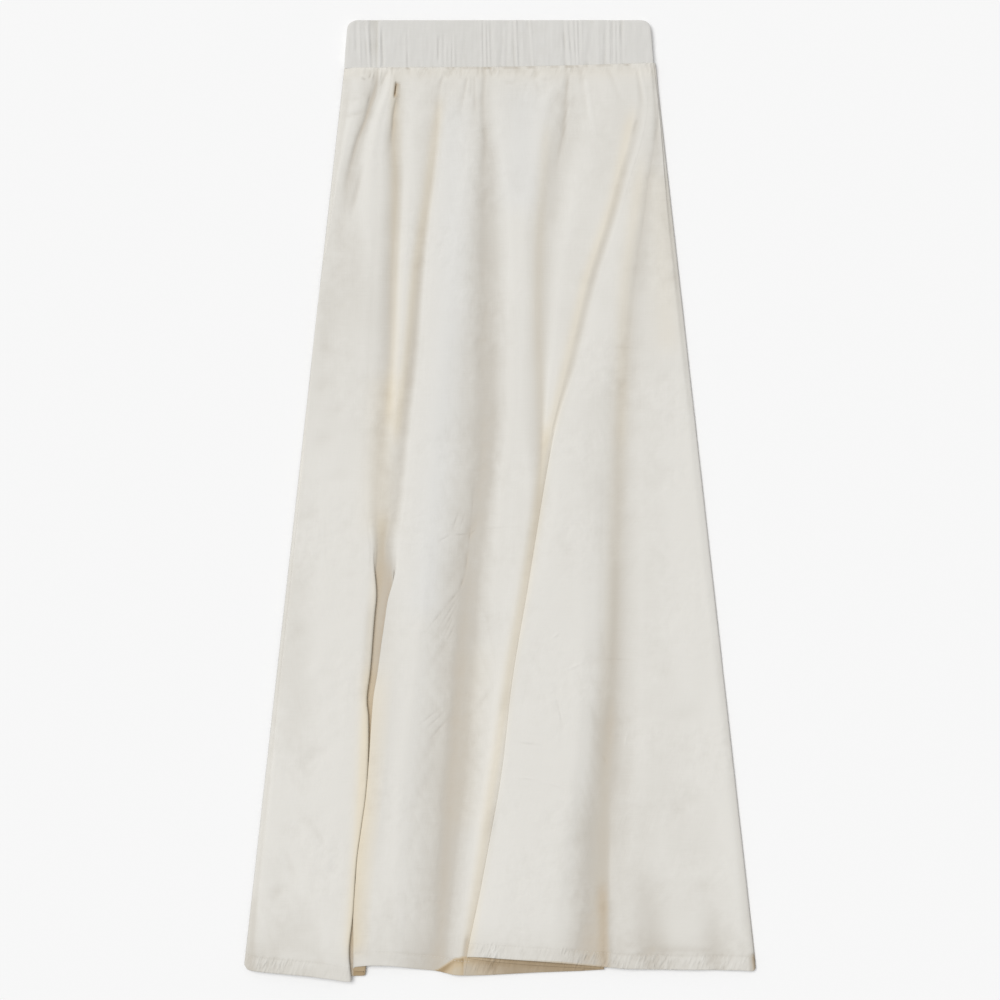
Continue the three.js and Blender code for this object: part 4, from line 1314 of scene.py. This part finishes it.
# The cotton's colours, with painted light and shade: lighter on ridges, its own colour on flat cloth, and
# darker and warmer in folds, deep folds and shadow.
frontCotton = {
    "litRidgeColor": (0.733, 0.715, 0.671),
    "color": (0.689, 0.669, 0.622),
    "foldShadeColor": (0.56, 0.529, 0.474),
    "deepShadeColor": (0.53, 0.462, 0.37),
    "shadowColor": (0.36, 0.29, 0.205),
    "warmTint": (0.03, -0.018, -0.105),  # what full painted warmth adds to red, green and blue
    "drift": 0.08,  # in shade value, as are the next two
    "slubTone": 0.05,
    "creaseShade": 0.3,  # painted shade for each millimetre of a crease's or pucker's depth
    "roughness": 0.85,
    "slubRoughness": 0.12,
    "specular": 0.25,
    "sheen": 0.1,
    "sheenRoughness": 0.5,
    "pitch": 0.45,  # from thread to thread
    "threadHeight": 0.03,
    "slubHeight": 0.03,
    "puckerSlant": 20,  # degrees
    "puckerDepth": 1.0,
    "crumple": 0.75,
}
backCotton = frontCotton | {"deepShadeColor": (0.56, 0.455, 0.32), "puckerSlant": -8, "crumple": 0.6}
bandCotton = frontCotton | {
    "litRidgeColor": (0.7, 0.692, 0.671),
    "color": (0.657, 0.646, 0.617),
    "foldShadeColor": (0.545, 0.525, 0.475),
    "puckerSlant": 0,
    "puckerDepth": 0.6,
    "crumple": 0.4,
}

# Sharp lines pressed into the front: start and end as (x, down), width and depth (a ridge is negative).
pressedLines = [
    ((-26, 455), (-29, 502), 1.6, 0.3),
    ((-29, 496), (-31.5, 524), 1.5, 0.45),
    ((-31.5, 518), (-35.5, 553), 1.5, 0.6),
    ((-35, 547), (-41, 566), 1.5, 0.55),
    ((-39.5, 562), (-54, 580), 1.4, 0.45),
    ((-51, 576), (-75, 606), 1.3, 0.3),
    ((-38, 564), (-63, 605), 1.2, 0.35),
    ((-39, 570), (-61, 613), 1.2, 0.3),
    ((-43, 582), (-58, 615), 1.1, 0.28),
    ((-43, 594), (-55, 618), 1.1, 0.28),
    ((-50, 679), (-78, 705), 1.3, 0.32),
    ((-57, 678), (-84, 700), 1.2, 0.28),
    ((-49, 688), (-70, 710), 1.2, 0.3),
    ((-54, 694), (-72, 714), 1.1, 0.25),
    ((-64, 517), (-48, 508.5), 1.3, 0.4),
    ((-50, 509), (-29, 509), 1.1, 0.4),
    ((-31, 510), (-23, 502.5), 1.1, 0.35),
    ((-26, 504), (18, 501), 1.3, 0.22),
    ((-40.5, 484), (-48.5, 506), 1.2, 0.4),
    ((-35, 486), (-41, 506), 1.1, 0.25),
    ((-32, 693), (0, 649), 2.8, 0.4),
    ((8, 713), (47, 718), 1.4, 0.35),
    ((9, 747), (41, 751), 1.2, -0.3),
    ((36, 750), (70, 761.5), 1.2, -0.3),
    ((53, 660), (64, 710), 1.3, 0.3),
    ((48.5, 613), (59.5, 604), 1.3, -0.35),
    ((59, 645), (85, 633.5), 1.4, -0.35),
    ((97, 632.6), (135, 632.6), 1.0, 0.25),
    ((125.5, 700), (122, 722), 1.3, -0.3),
    ((100, 725), (107, 738), 1.6, 0.4),
    ((96, 324), (150, 325), 1.1, 0.15),
    ((-139.5, 56.5), (-130.5, 61), 1.3, 0.8),
    ((-131.5, 61.5), (-127, 51), 1.2, 0.4),
    ((-123.4, 46), (-126.8, 66), 1.3, 0.6),
    ((-126, 62), (-133.5, 94), 1.8, 0.6),
    ((-116, 49), (-120.5, 66), 1.2, 0.45),
]

# The stitched line along the hem.
hemStitches = {
    "pitch": 3.4,  # from stitch to stitch
    "length": 2.5,
    "thread": 0.36,
    "color": (0.70, 0.684, 0.645),
    "strandShade": 0.86,  # the painted shade between the thread's strands
    "twistScale": 520.0,
    "twistAngle": 35,  # degrees
    "twistDepth": 0.05,
    "roughness": 0.6,
    "sheen": 0.2,
}


def threadMaterial():
    surface = {"Roughness": hemStitches["roughness"], "Sheen Weight": hemStitches["sheen"]}
    material, tree, shader = newMaterial("HemThread", surface)
    place = addNode(tree, "ShaderNodeTexCoord").outputs["Object"]
    turned = mapped(tree, place, Rotation=(0, 0, math.radians(hemStitches["twistAngle"])))
    waves = {"Vector": turned, "Scale": hemStitches["twistScale"], "Distortion": 1.5}
    twist = addNode(tree, "ShaderNodeTexWave", waves).outputs["Fac"]
    paintedDarker = [c * hemStitches["strandShade"] for c in hemStitches["color"]]
    color = colorRamp(tree, twist, paintedDarker, hemStitches["color"])
    relief = {"Height": twist, "Distance": hemStitches["twistDepth"] * mm, "Strength": 1.0}
    bump = addNode(tree, "ShaderNodeBump", relief)
    tree.links.new(color, shader.inputs["Base Color"])
    tree.links.new(bump.outputs[0], shader.inputs["Normal"])
    return material


# short threads laid end to end along each edge path that the tree is given
def stitchTree(material):
    sizes = dict.fromkeys(("Pitch", "Stitch length", "Thread"), "NodeSocketFloat")
    inputs = {"Path": "NodeSocketGeometry"} | sizes
    output = ("Stitches", "NodeSocketGeometry")
    tree, given, result = nodeGroup("GeometryNodeTree", "RunningStitch", inputs, output)
    given = given.outputs
    curve = addNode(tree, "GeometryNodeMeshToCurve", {"Mesh": given["Path"]}).outputs[0]
    spaced = addNode(tree, "GeometryNodeResampleCurve", mode="LENGTH")
    tree.links.new(curve, spaced.inputs["Curve"])
    tree.links.new(given["Pitch"], spaced.inputs["Length"])
    facets = {"Segments": 6, "Rings": 4, "Radius": 0.5}
    ball = addNode(tree, "GeometryNodeMeshUVSphere", facets).outputs["Mesh"]
    lengths = {"X": given["Stitch length"], "Y": given["Thread"], "Z": given["Thread"]}
    size = addNode(tree, "ShaderNodeCombineXYZ", lengths).outputs[0]
    stitch = addNode(tree, "GeometryNodeTransform", {"Geometry": ball, "Scale": size}).outputs[0]
    tangent = addNode(tree, "GeometryNodeInputTangent").outputs[0]
    turn = addNode(tree, "FunctionNodeAlignRotationToVector", {"Vector": tangent}, axis="X").outputs[0]
    placing = {"Points": spaced.outputs[0], "Instance": stitch, "Rotation": turn}
    laid = addNode(tree, "GeometryNodeInstanceOnPoints", placing).outputs[0]
    whole = addNode(tree, "GeometryNodeRealizeInstances", {"Geometry": laid}).outputs[0]
    smoothed = addNode(tree, "GeometryNodeSetShadeSmooth", {0: whole}).outputs[0]
    coloured = addNode(tree, "GeometryNodeSetMaterial", {"Geometry": smoothed, "Material": material})
    tree.links.new(coloured.outputs[0], result.inputs["Stitches"])
    return tree


# the stitches along every part of the line that shows; its points are in millimetres
def buildStitches(name, line, shown):
    edges = [(i, i + 1) for i in range(len(line) - 1) if shown[i] and shown[i + 1]]
    path = bpy.data.meshes.new(name + "Path")
    path.from_pydata((line * mm).tolist(), edges, [])
    guide = addObject(name + "Path", path)
    thread = threadMaterial()
    tree = stitchTree(thread)
    modifier = guide.modifiers.new("RunningStitch", "NODES")
    modifier.node_group = tree
    sizes = {"Pitch": "pitch", "Stitch length": "length", "Thread": "thread"}
    for item in tree.interface.items_tree:
        if item.name in sizes:
            modifier[item.identifier] = hemStitches[sizes[item.name]] * mm
    bpy.context.view_layer.update()
    evaluated = guide.evaluated_get(bpy.context.evaluated_depsgraph_get())
    mesh = bpy.data.meshes.new_from_object(evaluated)
    mesh.name = name
    mesh.materials.clear()  # the conversion leaves an empty slot before the thread's
    mesh.materials.append(thread)
    mesh.polygons.foreach_set("material_index", np.zeros(len(mesh.polygons), np.int32))
    bpy.data.objects.remove(guide)
    print(name + ":", len(mesh.polygons), "faces")
    return addObject(name, mesh)


front, hemLine, hemShown = buildFront()
front.data.materials.append(clothMaterial("FrontCotton", frontCotton, pressedLines))
stitches = buildStitches("HemStitches", hemLine, hemShown)
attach(front, "root")
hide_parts("front_panel")
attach(stitches, "root")

back = buildBack()
back.data.materials.append(clothMaterial("BackCotton", backCotton))
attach(back, "root")
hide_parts("back_panel")

waistband = buildBand()
waistband.data.materials.append(clothMaterial("BandCotton", bandCotton))
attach(waistband, "root")
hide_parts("waistband")
print("pieces ready")

# The floor, the light and the camera, which looks straight down.
studio = {
    "floorColor": (0.9, 0.9, 0.9),
    "floorSize": 8,
    "floorZ": -0.0004,  # just under the skirt
    "keyFrom": (-0.38, 0.28, 1.0),
    "keySpread": 40,  # degrees across, so its shadows are soft
    "keyStrength": 2.15,
    "worldStrength": 0.42,
    "camera": (-0.0008, 0.0005, 2.34),
    "lens": 85,
}


def softLight(name, place, spread, strength):
    data = bpy.data.lights.new(name, "SUN")
    data.angle = math.radians(spread)
    data.energy = strength
    lamp = addObject(name, data)
    lamp.location = place
    lamp.rotation_euler = (-Vector(place)).to_track_quat("-Z", "Y").to_euler()


def buildStudio():
    side, z = studio["floorSize"] / 2, studio["floorZ"]
    corners = [(-side, -side, z), (side, -side, z), (side, side, z), (-side, side, z)]
    mesh = bpy.data.meshes.new("Floor")
    mesh.from_pydata(corners, [], [(0, 1, 2, 3)])
    surface = {"Base Color": (*studio["floorColor"], 1), "Roughness": 0.9, "Specular IOR Level": 0.1}
    mesh.materials.append(newMaterial("PaleFloor", surface)[0])
    addObject("Floor", mesh)
    softLight("KeyLight", studio["keyFrom"], studio["keySpread"], studio["keyStrength"])
    world = bpy.data.worlds.new("StudioWorld")
    world.use_nodes = True
    background = world.node_tree.nodes["Background"]
    background.inputs["Color"].default_value = (1, 1, 1, 1)
    background.inputs["Strength"].default_value = studio["worldStrength"]
    bpy.context.scene.world = world
    bpy.context.scene.view_settings.view_transform = "Standard"
    data = bpy.data.cameras.new("Camera")
    data.lens = studio["lens"]
    data.sensor_width = 36
    camera = addObject("Camera", data)
    camera.location = studio["camera"]
    bpy.context.scene.camera = camera


buildStudio()
print("studio ready")
